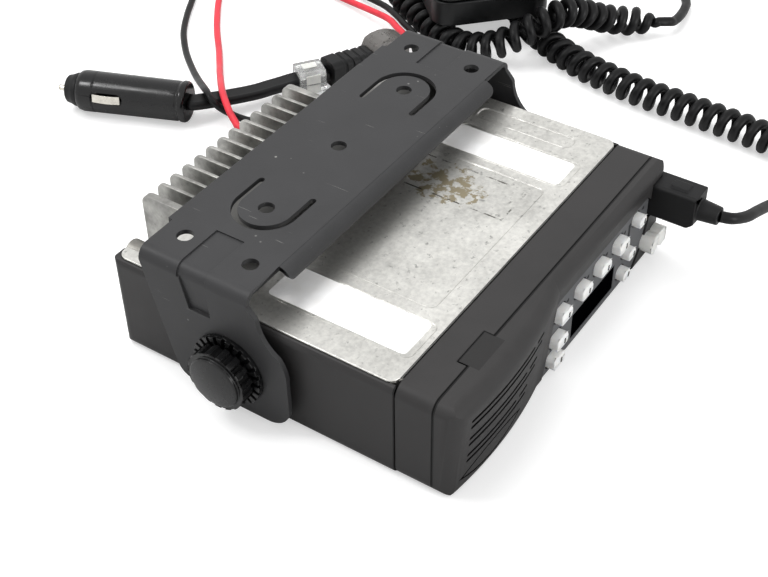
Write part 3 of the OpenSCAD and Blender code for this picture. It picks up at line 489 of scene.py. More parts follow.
def circuit_board(name, code):
    """Glass-fibre board under green mask: fine lighter tracks and a soft gloss."""
    material, tree, shader, place = start_material(name, Roughness=0.35)
    base = linear(code)
    tracks = add_node(
        tree,
        "ShaderNodeTexBrick",
        {
            "Vector": place,
            "Scale": per_mm(9),
            "Color1": base,
            "Color2": shade(base, 1.25),
            "Mortar": shade(base, 1.9),
        },
        offset=0.5,
    )
    tree.links.new(tracks.outputs["Color"], shader.inputs["Base Color"])
    return material


def paint(material, *names):
    """Gives CAD nodes or pieces one material."""
    for name in names:
        mesh = bpy.data.objects[name].data
        mesh.materials.clear()
        mesh.materials.append(material)


# Edge work on CAD nodes: the distance in millimetres under which points are one, the angles in
# degrees under which faces are flat and over which edges are rounded, and the steps of a rounding
WELD_DISTANCE = 0.002
FLAT_ANGLE = 0.5
EDGE_ANGLE = 32.0
EDGE_STEPS = 2


def welded(name):
    """A CAD node with a live weld and smooth shading; its own mesh keeps its shape."""
    piece = NODES[name]
    weld = piece.modifiers.new("weld", "WELD")
    weld.merge_threshold = WELD_DISTANCE * MM
    piece.data.shade_smooth()
    return piece


def soften(width, *names):
    """Rounds the edges of CAD nodes by a width in millimetres, with live modifiers."""
    for name in names:
        piece = welded(name)
        flat = piece.modifiers.new("flat faces", "DECIMATE")
        flat.decimate_type = "DISSOLVE"
        flat.angle_limit = math.radians(FLAT_ANGLE)
        edge = piece.modifiers.new("edge", "BEVEL")
        edge.width = width * MM
        edge.segments = EDGE_STEPS
        edge.limit_method = "ANGLE"
        edge.angle_limit = math.radians(EDGE_ANGLE)
        edge.use_clamp_overlap = False
        edge.harden_normals = False
        smooth = piece.modifiers.new("weighted", "WEIGHTED_NORMAL")
        smooth.keep_sharp = True


def crease(degrees, *names):
    """Smooth shading with sharp edges on CAD nodes whose own roundings are enough."""
    for name in names:
        split = welded(name).modifiers.new("crease", "EDGE_SPLIT")
        split.split_angle = math.radians(degrees)


def new_object(name, data, material):
    """A new object in the scene, with a material unless it is None."""
    made = bpy.data.objects.new(name, data)
    bpy.context.scene.collection.objects.link(made)
    if material is not None:
        data.materials.append(material)
    return made


def from_bmesh(name, mesh, material):
    """A new object from a finished bmesh, which is freed."""
    data = bpy.data.meshes.new(name)
    mesh.to_mesh(data)
    mesh.free()
    return new_object(name, data, material)


# Places of what the cords join, as in the CAD source, in millimetres and degrees
MIC_PLACE = Vector((178.2, 60.5, 16.2))
MIC_TURN = -44.0
MIC_LENGTH = 90.0
MIC_SPLIT = 13.0
RELIEF_END = 17.0
RELIEF_OUT = 27.0
JOIN_PLACE = Vector((107.2, 111.9, 7.0))
JOIN_TURN = -22.0
CONNECTOR_END = 44.0
POLE_SPACING = 2.3
MARKER_FROM = Vector((96.3, 119.85, 6.5))
MARKER_TO = Vector((103.5, 114.55, 6.7))
LIGHTER_PLACE = Vector((24.2, 209.5, 9.9))
LIGHTER_TURN = 21.5
LIGHTER_END = 65.0

# The middle of each cord, in millimetres, as in the CAD source
COIL_ROUTE = [
    (165, -106, 7.6), (169, -90, 7.6), (171, -64, 7.6), (172, -42, 7.6), (173, -22, 7.6),
    (177, 4, 7.6), (182, 20, 7.6), (189, 36, 7.6), (199, 52, 7.6), (212, 68, 7.6),
    (224, 86, 7.6), (229, 104, 7.6), (224, 120, 7.6), (211, 129, 7.6), (196, 128, 7.6),
    (185, 118, 7.6), (178, 105, 7.6), (171, 93, 7.6), (166, 82, 7.6), (163, 71, 7.6),
    (164, 61, 9), (167, 51, 12.5), (172, 42.5, 17.5), (179, 36, 22), (188, 31.5, 24),
    (198, 28, 22), (208, 24, 17), (217, 19, 12), (225, 12, 9), (231, 4, 7.8), (236, -3, 7.6),
]
TAIL_ROUTE = [
    (77, -101.5, 30), (79.5, -106, 29.2), (87, -109, 26.5), (97, -110, 23), (108, -111, 19),
    (124, -114, 14), (142, -117, 10), (157, -116, 8),
]
LEAD_ROUTE = [
    (243, -8, 6), (250, -8, 5), (260, -6.5, 4), (270, -3, 3.2), (286, 9, 2.8), (301, 35, 2.8),
    (311, 70, 2.8), (315, 105, 5), (312, 137, 12), (303, 158, 19), (290, 168, 26),
]
RED_ROUTE = [
    (59, 94, 18), (56.5, 101, 16), (51, 107.5, 12.5), (46, 112.5, 9.8), (45, 117.1, 9),
    (46.8, 120.8, 9.8), (49.7, 126, 11.4), (53.7, 131.4, 12.6), (58.4, 136.9, 13),
    (63.5, 142, 12.3), (70.5, 148.4, 10), (78.7, 155.7, 7.6), (86.2, 162.1, 5.4),
    (100.3, 174.2, 2.6), (112, 184.8, 2), (123.4, 194.2, 2), (139.5, 206, 2), (155, 215, 2),
    (172, 215, 2), (181, 198, 2), (179, 172, 2.4), (174, 145, 3.6), (169.5, 128, 5.5),
    (165.5, 115, 6.8), (160.6, 106.5, 7), (156.5, 99.6, 7), (153, 96.8, 7),
]
BLACK_ROUTE = [
    (65, 94, 18), (63, 104, 12), (60, 113, 7), (57, 120, 5), (55.5, 126.1, 5.4),
    (54.9, 130.6, 6.3), (53.4, 134.4, 8.5), (51.7, 137.4, 12), (52.4, 140.4, 13.9),
    (55, 143.9, 13.8), (58.6, 148.7, 12.2), (67.1, 159.5, 8), (76.5, 171.2, 4.6),
    (88.4, 185.3, 2.2), (97.5, 194.7, 2), (106.4, 202.4, 2), (118.9, 210.7, 2),
    (132.7, 218.5, 2), (152, 229, 2), (176, 230, 2), (192, 212, 2), (193, 180, 2.2),
    (184, 145, 3.4), (177.5, 126, 5.5), (170.7, 113.5, 6.8), (165.6, 105.5, 7), (162, 99, 7),
    (158.3, 93.8, 7), (153, 91.7, 7),
]
TWIN_ROUTE = [
    (49.3, 147, 9.7), (53.4, 144.5, 9), (59.2, 141.2, 8.1), (64.2, 137.9, 7.6),
    (70.3, 133.9, 7.2), (76, 130.5, 6.9), (81.8, 127.8, 6.7), (87.6, 125, 6.5),
    (93.48, 121.93, 6.5), MARKER_FROM, MARKER_TO,
]

# How finely the cords are drawn, and how many curls the coil takes to reach its full width
ROUTE_STEPS = 12
CORD_ROUNDNESS = 4
CURL_STEPS = 24
GROW_CURLS = 1.5
TWIN_STEPS = 60
TWIN_SIDES = 24

# The groove between the wires of the twin lead: its share of their height and of their width
GROOVE_HEIGHT = 0.86
GROOVE_WIDTH = 0.3


def turned(point, degrees):
    """A point turned about the upright axis."""
    return Matrix.Rotation(math.radians(degrees), 3, "Z") @ Vector(point)


def on_microphone(point):
    """A point of the microphone's own frame."""
    return MIC_PLACE + turned(point, MIC_TURN)


def on_joint(point):
    """A point of the frame of the connector, where the twin lead starts."""
    return JOIN_PLACE + turned(point, JOIN_TURN)


def smooth_route(points, start=None, end=None):
    """Catmull-Rom line through the points of a route, which may be told its end directions."""
    p = [Vector(q) for q in points]
    before = 2 * p[0] - p[1]
    after = 2 * p[-1] - p[-2]
    if start:
        before = p[1] - 2 * (p[1] - p[0]).length * start.normalized()
    if end:
        after = p[-2] + 2 * (p[-1] - p[-2]).length * end.normalized()
    p = [before, *p, after]
    line = []
    for a, b, c, d in zip(p, p[1:], p[2:], p[3:]):
        for k in range(ROUTE_STEPS):
            t = k / ROUTE_STEPS
            bent = (2 * a - 5 * b + 4 * c - d) * t * t + (3 * b - a - 3 * c + d) * t * t * t
            line.append(0.5 * (2 * b + (c - a) * t + bent))
    return [*line, p[-2]]


def line_length(line):
    """The length along a line of points."""
    return sum((b - a).length for a, b in zip(line, line[1:]))


def even_points(line, count):
    """The line again as count equal steps."""
    step = line_length(line) / count
    made, passed, index = [], 0.0, 0
    for k in range(count + 1):
        while index < len(line) - 2 and passed + (line[index + 1] - line[index]).length < k * step:
            passed += (line[index + 1] - line[index]).length
            index += 1
        span = (line[index + 1] - line[index]).length
        made.append(line[index].lerp(line[index + 1], min(1.0, (k * step - passed) / span)))
    return made


def along(line):
    """Each point of a line, with its sideways and its upward direction."""
    for i, middle in enumerate(line):
        ahead = (line[min(i + 1, len(line) - 1)] - line[max(i - 1, 0)]).normalized()
        side = ahead.cross(Vector((0, 0, 1))).normalized()
        yield middle, side, side.cross(ahead)


def curled(line, width, radius, pitch):
    """A helix round the line, with a straight end at each side."""
    curls = math.floor(line_length(line) / pitch)
    steps = CURL_STEPS * curls
    axis = even_points(line, steps)
    made = []
    for i, (middle, side, up) in enumerate(along(axis)):
        grown = radius * min(1.0, min(i, steps - i) / CURL_STEPS / GROW_CURLS)
        angle = math.tau * i / CURL_STEPS
        made.append(middle + grown * (math.cos(angle) * side + math.sin(angle) * up))
    first = axis[0] - width * (axis[1] - axis[0]).normalized()
    last = axis[-1] + width * (axis[-1] - axis[-2]).normalized()
    return [first, *made, last]


def cord_curve(name, line, width, material):
    """A round cord: one open spline through points in millimetres."""
    curve = bpy.data.curves.new(name, "CURVE")
    curve.dimensions = "3D"
    curve.bevel_depth = width / 2
    curve.bevel_resolution = CORD_ROUNDNESS
    curve.use_fill_caps = True
    spline = curve.splines.new("POLY")
    spline.points.add(len(line) - 1)
    for point, place in zip(spline.points, line):
        point.co = (*(place * MM), 1.0)
    spline.use_smooth = True
    return new_object(name, curve, material)


# Camera: width of the sensor in millimetres, and nearest distance seen in metres
SENSOR_WIDTH = 36.0
CLIP_START = 0.01


class MOBILE_RADIO_OT_camera(bpy.types.Operator):
    """Set the camera at the place of the photograph"""

    bl_idname = "mobile_radio.camera"
    bl_label = "Camera"

    def execute(self, context):
        stage = context.scene.mobile_radio_stage
        azimuth, elevation, roll = (
            math.radians(v) for v in (stage.azimuth, stage.elevation, stage.roll)
        )
        flat = math.cos(elevation)
        back = Vector((math.sin(azimuth) * flat, -math.cos(azimuth) * flat, math.sin(elevation)))
        right = Vector((math.cos(azimuth), math.sin(azimuth), 0))
        up = back.cross(right)
        across = right * math.cos(roll) + up * math.sin(roll)
        upward = up * math.cos(roll) - right * math.sin(roll)
        data = bpy.data.cameras.new("photo_camera")
        data.lens = stage.lens
        data.sensor_width = SENSOR_WIDTH
        data.clip_start = CLIP_START
        camera = bpy.data.objects.new("photo_camera", data)
        context.scene.collection.objects.link(camera)
        turn = Matrix((across, upward, back)).transposed().to_4x4()
        place = Vector((stage.camera_x, stage.camera_y, stage.camera_z))
        camera.matrix_world = Matrix.Translation(place) @ turn
        context.scene.camera = camera
        return {"FINISHED"}


class MOBILE_RADIO_OT_microphone_cord(bpy.types.Operator):
    """Lay the microphone cord: smooth tail, curls and the end at the microphone"""

    bl_idname = "mobile_radio.microphone_cord"
    bl_label = "Microphone cord"

    def execute(self, context):
        sizes = cord_sizes()
        width = sizes.cord_width / MM
        coil = curled(
            smooth_route(COIL_ROUTE), width, sizes.curl_radius / MM, sizes.curl_pitch / MM
        )
        relief_out = on_microphone((0, MIC_LENGTH + RELIEF_OUT, MIC_SPLIT))
        relief_end = on_microphone((0, MIC_LENGTH + RELIEF_END, MIC_SPLIT))
        tail = smooth_route([*TAIL_ROUTE, coil[0]], end=coil[1] - coil[0])
        lead_route = [coil[-1], *LEAD_ROUTE, relief_out, relief_end]
        lead = smooth_route(lead_route, start=coil[-1] - coil[-2])
        line = [*tail, *coil[1:-1], *lead]
        black = jacket("black_polyurethane_cord", linear("#0D0D0E"), 0.42)
        cord = cord_curve("microphone_cord", line, sizes.cord_width, black)
        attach(cord, "radio")
        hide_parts("mic_cord_tail", "mic_cord_coil", "mic_cord_lead")
        return {"FINISHED"}


class MOBILE_RADIO_OT_power_leads(bpy.types.Operator):
    """Lay the red and the black lead, and the twin lead to the lighter plug"""

    bl_idname = "mobile_radio.power_leads"
    bl_label = "Power leads"

    def execute(self, context):
        sizes = cord_sizes()
        black = jacket("black_pvc_lead", linear("#101011"), 0.4)
        red = jacket("red_pvc_lead", (*colours().red_lead, 1.0), 0.34)
        single = (
            ("red_power_lead", RED_ROUTE, POLE_SPACING, red, "red_lead", "red_jacket"),
            ("black_power_lead", BLACK_ROUTE, -POLE_SPACING, black, "black_lead", "cord_jacket"),
        )
        for name, route, pole, material, node, finish in single:
            line = smooth_route([*route, on_joint((CONNECTOR_END, pole, 0))])
            lead = cord_curve(name, line, sizes.lead_width, material)
            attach(lead, "radio")
            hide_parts(node)
        self.twin(black)
        return {"FINISHED"}

    def twin(self, material):
        """A flat tube whose section is two round wires side by side."""
        sizes = cord_sizes()
        plug_end = LIGHTER_PLACE + turned((0, -LIGHTER_END, 0), LIGHTER_TURN)
        line = even_points(smooth_route([plug_end, *TWIN_ROUTE, JOIN_PLACE]), TWIN_STEPS)
        wire = sizes.twin_height / 2
        reach = sizes.twin_width / 2 - wire
        mesh = bmesh.new()
        rings = []
        for middle, side, up in along(line):
            ring = []
            for k in range(TWIN_SIDES):
                angle = math.tau * k / TWIN_SIDES
                out = reach if math.cos(angle) > 0 else -reach
                pinch = GROOVE_HEIGHT if abs(math.cos(angle)) < GROOVE_WIDTH else 1.0
                across = side * (out + wire * math.cos(angle))
                rise = up * (wire * pinch * math.sin(angle))
                ring.append(mesh.verts.new(middle * MM + across + rise))
            rings.append(ring)
        for low, high in zip(rings, rings[1:]):
            for k in range(TWIN_SIDES):
                after = (k + 1) % TWIN_SIDES
                mesh.faces.new((low[k], low[after], high[after], high[k]))
        mesh.faces.new(list(reversed(rings[0])))
        mesh.faces.new(rings[-1])
        bmesh.ops.recalc_face_normals(mesh, faces=mesh.faces)
        lead = from_bmesh("twin_power_lead", mesh, material)
        lead.data.shade_smooth()
        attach(lead, "radio")
        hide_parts("twin_lead")


# Labels in the sunk fields of the casting: x and y of the middle, width and length, in millimetres
LABELS = [(-59.5, -18.0, 18.4, 59.0), (51.5, -14.5, 16.0, 62.0)]
FIELD_DEPTH = 0.35
LABEL_THICKNESS = 0.12
LABEL_CORNER = 2.0
CORNER_STEPS = 6


def rounded_plate(name, middle, size, corner, thickness, material):
    """A thin plate with round corners, lying level."""
    mesh = bmesh.new()
    x, y, z = middle
    rim = []
    for quarter in range(4):
        cx = x + (size[0] / 2 - corner) * (1 if quarter in (0, 3) else -1)
        cy = y + (size[1] / 2 - corner) * (1 if quarter in (0, 1) else -1)
        for k in range(CORNER_STEPS + 1):
            angle = math.pi / 2 * (quarter + k / CORNER_STEPS)
            place = Vector((cx + corner * math.cos(angle), cy + corner * math.sin(angle), z))
            rim.append(mesh.verts.new(place * MM))
    face = mesh.faces.new(rim)
    grown = bmesh.ops.extrude_face_region(mesh, geom=[face])
    top = [v for v in grown["geom"] if isinstance(v, bmesh.types.BMVert)]
    bmesh.ops.translate(mesh, verts=top, vec=(0, 0, thickness * MM))
    bmesh.ops.recalc_face_normals(mesh, faces=mesh.faces)
    return from_bmesh(name, mesh, material)


class MOBILE_RADIO_OT_casting(bpy.types.Operator):
    """Finish the die-cast base and lay its blank labels"""

    bl_idname = "mobile_radio.casting"
    bl_label = "Cast base"

    def execute(self, context):
        paint(die_cast_aluminium(), "chassis_casting")
        soften(0.35, "chassis_casting")
        white = paper("blank_label_paper", (*colours().label, 1.0))
        for number, (x, y, wide, deep) in enumerate(LABELS, 1):
            middle = (x, y, BASE_TOP - FIELD_DEPTH)
            label = rounded_plate(
                f"label_{number}", middle, (wide, deep), LABEL_CORNER, LABEL_THICKNESS, white
            )
            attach(label, "radio")
        return {"FINISHED"}


# Smooth patch round the bezel's snap tab, the painted shade in the seams, by their corners, and the
# depth over which a slot is shaded, in millimetres
TAB_PATCH = ((-61.5, -72.6, 42.5), (-44.0, -64.2, 45.0))
SEAM_SHADE = (
    ((-90.0, -53.6, -1.0), (90.0, -52.4, 45.0)),
    ((-90.0, -69.0, -1.0), (-61.5, -67.8, 45.0)),
    ((-44.0, -69.0, -1.0), (90.0, -67.8, 45.0)),
    ((-62.0, -64.7, 41.0), (-43.5, -64.0, 45.0)),
    ((-62.0, -68.8, 41.0), (-61.3, -64.0, 45.0)),
    ((-44.2, -68.8, 41.0), (-43.5, -64.0, 45.0)),
)
SLOT_SHADE = 4.0


class MOBILE_RADIO_OT_case(bpy.types.Operator):
    """Finish the cover, the ring and the bezel"""

    bl_idname = "mobile_radio.case"
    bl_label = "Case"

    def execute(self, context):
        paint(self.case_plastic("textured_black_abs"), "case_cover", "front_frame")
        paint(self.case_plastic("textured_black_abs_bezel", True), "front_bezel")
        soften(0.5, "case_cover", "front_frame")
        crease(25, "front_bezel")
        return {"FINISHED"}

    def case_plastic(self, name, slotted=False):
        """The case's plastic: painted shade in seams, and on the bezel painted shade in slots and a
        smooth patch.
        """
        colour = (*colours().moulding, 1.0)
        material = moulded_plastic(name, colour, 0.5, 0.7)
        tree = material.node_tree
        shader = tree.nodes["Principled BSDF"]
        place = add_node(tree, "ShaderNodeTexCoord").outputs["Object"]
        skin = shader.inputs["Base Color"].links[0].from_socket
        # Painted shade: near-black bands along the seams between cover, ring, bezel and tab
        covers = [(inside_box(tree, place, *seam), shade(colour, 0.04)) for seam in SEAM_SHADE]
        if slotted:
            covers.insert(0, (inside_box(tree, place, *TAB_PATCH), shade(colour, 0.6)))
            # Painted shade inside the bezel's slots, found by ambient occlusion
            covers.append((self.slot_shade_share(tree), shade(colour, 0.04)))
        for share, cover in covers:
            skin = mixed(tree, share, skin, cover)
        tree.links.new(skin, shader.inputs["Base Color"])
        return material

    def slot_shade_share(self, tree):
        """0 on open faces and 1 inside narrow slots, for painted shade found by ambient occlusion.
        """
        near = {"Distance": SLOT_SHADE * MM}
        hidden = add_node(tree, "ShaderNodeAmbientOcclusion", near, samples=8, only_local=True)
        return ranged(tree, hidden.outputs["AO"], 1.0, 0.0, start=0.3, end=0.7)


def marks_tree():
    """Geometry Nodes: one flat mark with that many sides on each point, turned to face outwards."""
    known = bpy.data.node_groups.get("raised_marks")
    if known:
        return known
    tree = bpy.data.node_groups.new("raised_marks", "GeometryNodeTree")
    wanted = (
        ("Points", "NodeSocketGeometry"),
        ("Sides", "NodeSocketInt"),
        ("Size", "NodeSocketVector"),
        ("Turn", "NodeSocketVector"),
        ("Material", "NodeSocketMaterial"),
    )
    for name, kind in wanted:
        tree.interface.new_socket(name, in_out="INPUT", socket_type=kind)
    tree.interface.new_socket("Marks", in_out="OUTPUT", socket_type="NodeSocketGeometry")
    given = add_node(tree, "NodeGroupInput").outputs
    shape = add_node(
        tree, "GeometryNodeMeshCylinder", {"Vertices": given["Sides"], "Radius": 0.5, "Depth": 1.0}
    ).outputs["Mesh"]
    half_side = maths(tree, "DIVIDE", math.pi, given["Sides"])
    spin = add_node(tree, "ShaderNodeCombineXYZ", {"Z": half_side}).outputs["Vector"]
    changes = (("Rotation", spin), ("Scale", given["Size"]), ("Rotation", given["Turn"]))
    for socket, value in changes:
        shape = add_node(
            tree, "GeometryNodeTransform", {"Geometry": shape, socket: value}
        ).outputs["Geometry"]
    placed = add_node(
        tree,
        "GeometryNodeInstanceOnPoints",
        {"Points": given["Points"], "Instance": shape},
    )
    real = add_node(tree, "GeometryNodeRealizeInstances", {"Geometry": placed.outputs["Instances"]})
    finished = add_node(
        tree,
        "GeometryNodeSetMaterial",
        {"Geometry": real.outputs["Geometry"], "Material": given["Material"]},
    )
    add_node(tree, "NodeGroupOutput", {"Marks": finished.outputs["Geometry"]})
    return tree


def add_marks(name, body, tree, places, sides, size, turn, material):
    """Marks at places in millimetres, as a plain mesh that rides on a body."""
    points = bpy.data.meshes.new(f"{name}_points")
    points.from_pydata([Vector(place) * MM for place in places], [], [])
    carrier = new_object(f"{name}_carrier", points, None)
    grown = carrier.modifiers.new("marks", "NODES")
    grown.node_group = tree
    values = {"Sides": sides, "Size": Vector(size) * MM, "Turn": Vector(turn), "Material": material}
    for item in tree.interface.items_tree:
        if item.name in values:
            grown[item.identifier] = values[item.name]
    shape = carrier.evaluated_get(bpy.context.evaluated_depsgraph_get())
    data = bpy.data.meshes.new_from_object(shape)
    data.name = name
    carrier.modifiers.remove(grown)
    bpy.data.objects.remove(carrier)
    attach(new_object(name, data, None), body)


# Marks on the keys and on the panel: width, height and thickness, and the way from a key's middle,
# in millimetres; then the marks' sides, how many keys have a panel mark, and the turn to the front
KEY_MARK = (1.5, 2.6, 0.5)
KEY_MARK_SHIFT = (1.2, -0.2)
PANEL_MARK = (2.4, 1.8, 0.3)
PANEL_MARK_SHIFT = (6.2, 1.4)
ROUND_SIDES = 20
TRIANGLE_SIDES = 3
SQUARE_SIDES = 4
MARKED_KEYS = 5
FACE_FRONT = (math.pi / 2, 0.0, 0.0)


class MOBILE_RADIO_OT_front(bpy.types.Operator):
    """Finish the keypad panel, the keys, the rocker and the display window"""

    bl_idname = "mobile_radio.front"
    bl_label = "Front"

    def execute(self, context):
        paint(moulded_plastic("grey_abs_panel", (*colours().panel, 1.0), 0.5, 0.6), "keypad_panel")
        paint(gloss_plastic("smoked_acrylic", "#020203", 0.1, 0.0), "display_window")
        paint(translucent_key("white_silicone", (*colours().key, 1.0)), *KEY_NAMES)
        paint(translucent_key("grey_silicone", (*colours().rocker, 1.0)), "volume_rocker")
        soften(0.5, *KEY_NAMES, "volume_rocker")
        soften(0.15, "keypad_panel", "display_window")
        self.marks()
        return {"FINISHED"}

    def marks(self):
        """A plain dark spot on each key and a small triangle over the keys of the upper row."""
        tree = marks_tree()
        ink = moulded_plastic("black_pad_ink", linear("#141414"), 0.5, 0.4)
        above = []
        panel_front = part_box("keypad_panel")[0].y / MM
        for number, name in enumerate(KEY_NAMES):
            low, high = (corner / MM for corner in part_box(name))
            x, z = (low.x + high.x) / 2, (low.z + high.z) / 2
            spot = (x + KEY_MARK_SHIFT[0], low.y + KEY_MARK[2] / 2, z + KEY_MARK_SHIFT[1])
            add_marks(f"{name}_mark", name, tree, [spot], ROUND_SIDES, KEY_MARK, FACE_FRONT, ink)
            if number < MARKED_KEYS:
                above.append((x + PANEL_MARK_SHIFT[0], panel_front, z + PANEL_MARK_SHIFT[1]))
        add_marks("panel_marks", "radio", tree, above, TRIANGLE_SIDES, PANEL_MARK, FACE_FRONT, ink)


class MOBILE_RADIO_OT_bracket(bpy.types.Operator):
    """Finish the bracket, its washers and the clamp knobs"""

    bl_idname = "mobile_radio.bracket"
    bl_label = "Bracket and knobs"

    def execute(self, context):
        paint(powder_coat(), "bracket")
        soften(0.12, "bracket")
        nylon = gloss_plastic("black_nylon_knob", "#0A0A0B", 0.22, 0.4)
        paint(nylon, "knob_left", "knob_right", "lock_washers")
        soften(0.4, "knob_left", "knob_right")
        soften(0.15, "lock_washers")
        paint(plated_metal("zinc_plated_stud", "#C8C8C6", 0.25), "stud_left", "stud_right")
        rubber = moulded_plastic("black_rubber_washer", linear("#171717"), 0.7, 0.8)
        paint(rubber, "pivot_washers")
        return {"FINISHED"}


class MOBILE_RADIO_OT_microphone(bpy.types.Operator):
    """Finish the hand microphone and its plug"""

    bl_idname = "mobile_radio.microphone"
    bl_label = "Hand microphone"

    def execute(self, context):
        dark = moulded_plastic("black_abs_microphone", linear("#080909"), 0.36, 0.8)
        light = moulded_plastic("grey_abs_microphone", linear("#0F1011"), 0.4, 0.8)
        rubber = moulded_plastic("black_rubber_moulding", linear("#0E0E0F"), 0.5, 0.9)
        paint(dark, "mic_front_shell", "ptt_button")
        paint(light, "mic_rear_shell")
        paint(rubber, "mic_plug", "mic_relief", "mic_jack")
        paint(plated_metal("nickel_plate", "#CFCDC8", 0.2), "mic_clip_stud", "mic_element")
        soften(0.8, "mic_front_shell", "mic_rear_shell", "ptt_button")
        soften(0.5, "mic_plug")
        soften(0.2, "mic_relief", "mic_clip_stud")
        return {"FINISHED"}


# Raised cells on the marker sleeve, in millimetres and degrees; a square's size is its diagonal
SLEEVE_TURN = -36.4
SLEEVE_SIDE = 6.6
CELL_LIFTS = (-2.9, 2.4)
CELL_SIZE = (9.8, 6.2, 0.9)


class MOBILE_RADIO_OT_power_fittings(bpy.types.Operator):
    """Finish the connector, the boot, the marker sleeve and the lighter plug"""

    bl_idname = "mobile_radio.power_fittings"
    bl_label = "Power fittings"

    def execute(self, context):
        dull = moulded_plastic("black_nylon_fitting", linear("#0F0F10"), 0.48, 0.9)
        gloss = gloss_plastic("gloss_black_abs", "#080809", 0.18, 0.45)
        nickel = plated_metal("nickel_contact", "#D8D4CA", 0.18)
        paint(dull, "power_plug", "power_socket", "lead_boot", "lighter_nose")
        paint(gloss, "lighter_body")
        paint(clear_plastic("milky_nylon", "#6C6966", 0.24, 0.3), "lead_connector")
        paint(clear_plastic("clear_pvc_sleeve", "#F6F7F6", 0.12, 0.85), "marker_sleeve")
        paint(nickel, "lighter_tip", "contact_left", "contact_right")
        paint(plated_metal("dull_nickel_socket", "#8F8D88", 0.4), "antenna_socket")
        paint(clear_plastic("fuse_glass", "#EDEBE2", 0.08, 0.9), "lighter_fuse")
        soften(0.3, "power_plug", "power_socket", "lead_boot", "lighter_body", "lighter_nose")
        soften(0.5, "lead_connector")
        soften(0.4, "marker_sleeve")
        soften(0.15, "lighter_tip", "contact_left", "contact_right", "antenna_socket")
        self.marker_cells()
        return {"FINISHED"}

    def marker_cells(self):
        """Three raised, bare cells on the sleeve: one on top and two on its side."""
        milky = clear_plastic("milky_pvc_cells", "#F1F1EC", 0.3, 0.35)
        low, high = (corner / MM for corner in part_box("marker_sleeve"))
        middle = (low + high) / 2
        turn = math.radians(SLEEVE_TURN)
        outward = Vector((math.sin(turn), -math.cos(turn), 0.0))
        side = [middle + outward * SLEEVE_SIDE + Vector((0.0, 0.0, lift)) for lift in CELL_LIFTS]
        top = [Vector((middle.x, middle.y, high.z))]
        tree = marks_tree()
        for name, places, lean in (("side_cells", side, math.pi / 2), ("top_cell", top, 0.0)):
            aim = (lean, 0.0, turn)
            add_marks(name, "radio", tree, places, SQUARE_SIDES, CELL_SIZE, aim, milky)


class MOBILE_RADIO_OT_inside(bpy.types.Operator):
    """Finish the pieces inside the case and the microphone"""

    bl_idname = "mobile_radio.inside"
    bl_label = "Inside"

    def execute(self, context):
        board = circuit_board("green_circuit_board", "#1E5B34")
        paint(board, "main_board", "control_board", "mic_board")
        paint(plated_metal("tinned_steel", "#BFC0C0", 0.3), "rf_shield", "board_screws")
        paint(plated_metal("brass", "#C3A258", 0.25), "pivot_inserts")
        cone = moulded_plastic("black_paper_cone", linear("#161616"), 0.8, 1.2)
        paint(cone, "speaker", "power_module", "ptt_switch")
        # Painted shade: the white keypad mat is coloured dark grey so the gaps round the keys look
        # dark
        paint(translucent_key("dark_silicone_mat", linear("#1A1A1A")), "keypad_mat")
        paint(gloss_plastic("display_glass", "#59645A", 0.1), "lcd_module")
        return {"FINISHED"}


# Lamps: place, aim and size in metres, and whether shiny pieces mirror the lamp
LAMPS = (
    ("softbox", (0.2, 0.55, 1.2), (0.05, 0.05, 0.0), 1.2, False),
    ("key_lamp", (-0.36, 0.44, 0.79), (0.05, 0.08, 0.0), 0.22, True),
    ("front_lamp", (-0.1, -1.4, 0.5), (0.0, 0.0, 0.03), 0.8, True),
)

# Sine of the height at which the sky reaches its full strength
DOME_TOP = 0.8

# The floor: radius in metres, sides, brightness of its paper, and the light it adds where seen
FLOOR_RADIUS = 4.0
FLOOR_SIDES = 96
FLOOR_PAPER = 0.66
FLOOR_GLOW = 0.48


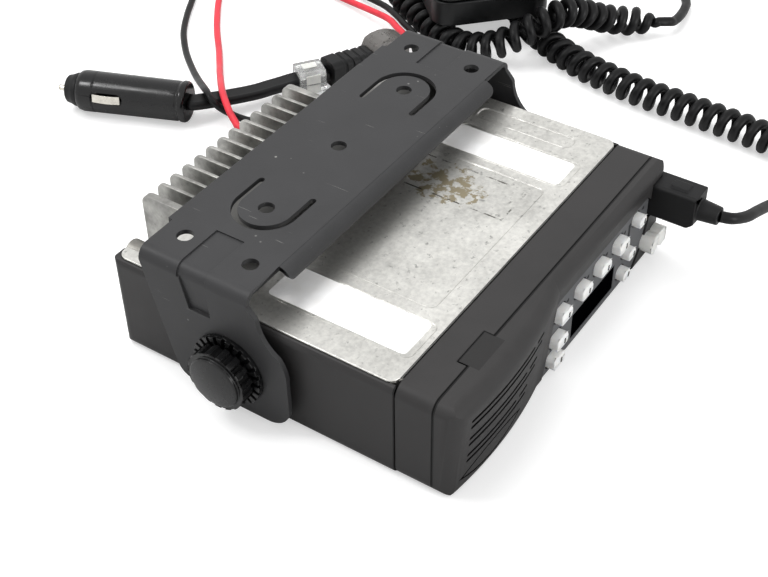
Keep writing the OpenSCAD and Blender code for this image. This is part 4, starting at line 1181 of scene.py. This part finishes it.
class MOBILE_RADIO_OT_stage(bpy.types.Operator):
    """Set the pale floor, the sky and the lamps"""

    bl_idname = "mobile_radio.stage"
    bl_label = "Stage"

    def execute(self, context):
        stage = context.scene.mobile_radio_stage
        context.scene.view_settings.view_transform = "Standard"
        self.sky(context.scene, stage)
        floor = self.floor()
        for name, place, aim, size, mirrored in LAMPS:
            self.lamp(name, place, aim, size, getattr(stage, name), mirrored)
        return {"FINISHED"}

    def sky(self, scene, stage):
        """White where it is seen; where it lights, dim at the horizon and bright overhead."""
        world = bpy.data.worlds.new("white_room")
        scene.world = world
        world.use_nodes = True
        tree = world.node_tree
        aim = add_node(tree, "ShaderNodeTexCoord").outputs["Generated"]
        height = add_node(tree, "ShaderNodeSeparateXYZ", {"Vector": aim}).outputs["Z"]
        dome = ranged(tree, height, stage.horizon, stage.zenith, end=DOME_TOP, curve="SMOOTHSTEP")
        light = add_node(tree, "ShaderNodeLightPath").outputs
        seen = maths(tree, "MAXIMUM", light["Is Camera Ray"], light["Is Glossy Ray"])
        seen = maths(tree, "MAXIMUM", seen, light["Is Transmission Ray"])
        level = ranged(tree, seen, dome, 1.0)
        background = tree.nodes["Background"]
        background.inputs["Color"].default_value = (1, 1, 1, 1)
        tree.links.new(level, background.inputs["Strength"])

    def floor(self):
        """A wide white disc that keeps the shadow of the object."""
        mesh = bmesh.new()
        bmesh.ops.create_circle(mesh, cap_ends=True, segments=FLOOR_SIDES, radius=FLOOR_RADIUS)
        material, tree, shader, _ = start_material("white_paper_floor", Roughness=0.9)
        shader.inputs["Base Color"].default_value = (FLOOR_PAPER, FLOOR_PAPER, FLOOR_PAPER, 1.0)
        shader.inputs["Specular IOR Level"].default_value = 0.0
        light = add_node(tree, "ShaderNodeLightPath").outputs
        glow = maths(tree, "MULTIPLY", light["Is Camera Ray"], FLOOR_GLOW)
        shader.inputs["Emission Color"].default_value = (1, 1, 1, 1)
        tree.links.new(glow, shader.inputs["Emission Strength"])
        return from_bmesh("floor", mesh, material)

    def lamp(self, name, place, aim, size, power, mirrored):
        """A round lamp, turned to its aim."""
        data = bpy.data.lights.new(name, "AREA")
        data.shape = "DISK"
        data.size = size
        data.energy = power
        made = bpy.data.objects.new(name, data)
        bpy.context.scene.collection.objects.link(made)
        made.location = place
        made.rotation_euler = (Vector(aim) - Vector(place)).to_track_quat("-Z", "Y").to_euler()
        made.visible_glossy = mirrored


STEPS = (
    MOBILE_RADIO_OT_camera,
    MOBILE_RADIO_OT_microphone_cord,
    MOBILE_RADIO_OT_power_leads,
    MOBILE_RADIO_OT_casting,
    MOBILE_RADIO_OT_case,
    MOBILE_RADIO_OT_front,
    MOBILE_RADIO_OT_bracket,
    MOBILE_RADIO_OT_microphone,
    MOBILE_RADIO_OT_power_fittings,
    MOBILE_RADIO_OT_inside,
    MOBILE_RADIO_OT_stage,
)


class MOBILE_RADIO_PT_panel(bpy.types.Panel):
    """Buttons and values of the mobile radio"""

    bl_label = "Mobile radio"
    bl_idname = "MOBILE_RADIO_PT_panel"
    bl_space_type = "VIEW_3D"
    bl_region_type = "UI"
    bl_category = "Mobile radio"

    def draw(self, context):
        for step in STEPS:
            self.layout.operator(step.bl_idname)
        for place, group in GROUPS.items():
            box = self.layout.box()
            for name in group.__annotations__:
                box.prop(getattr(context.scene, place), name)


CLASSES = (*GROUPS.values(), *STEPS, MOBILE_RADIO_PT_panel)


def register():
    for item in CLASSES:
        bpy.utils.register_class(item)
    for place, group in GROUPS.items():
        setattr(bpy.types.Scene, place, bpy.props.PointerProperty(type=group))


def unregister():
    for place in GROUPS:
        delattr(bpy.types.Scene, place)
    for item in reversed(CLASSES):
        bpy.utils.unregister_class(item)


def main():
    register()
    bpy.ops.mobile_radio.camera()
    bpy.ops.mobile_radio.microphone_cord()
    bpy.ops.mobile_radio.power_leads()
    bpy.ops.mobile_radio.casting()
    bpy.ops.mobile_radio.case()
    bpy.ops.mobile_radio.front()
    bpy.ops.mobile_radio.bracket()
    bpy.ops.mobile_radio.microphone()
    bpy.ops.mobile_radio.power_fittings()
    bpy.ops.mobile_radio.inside()
    bpy.ops.mobile_radio.stage()


if __name__ == "__main__":
    main()
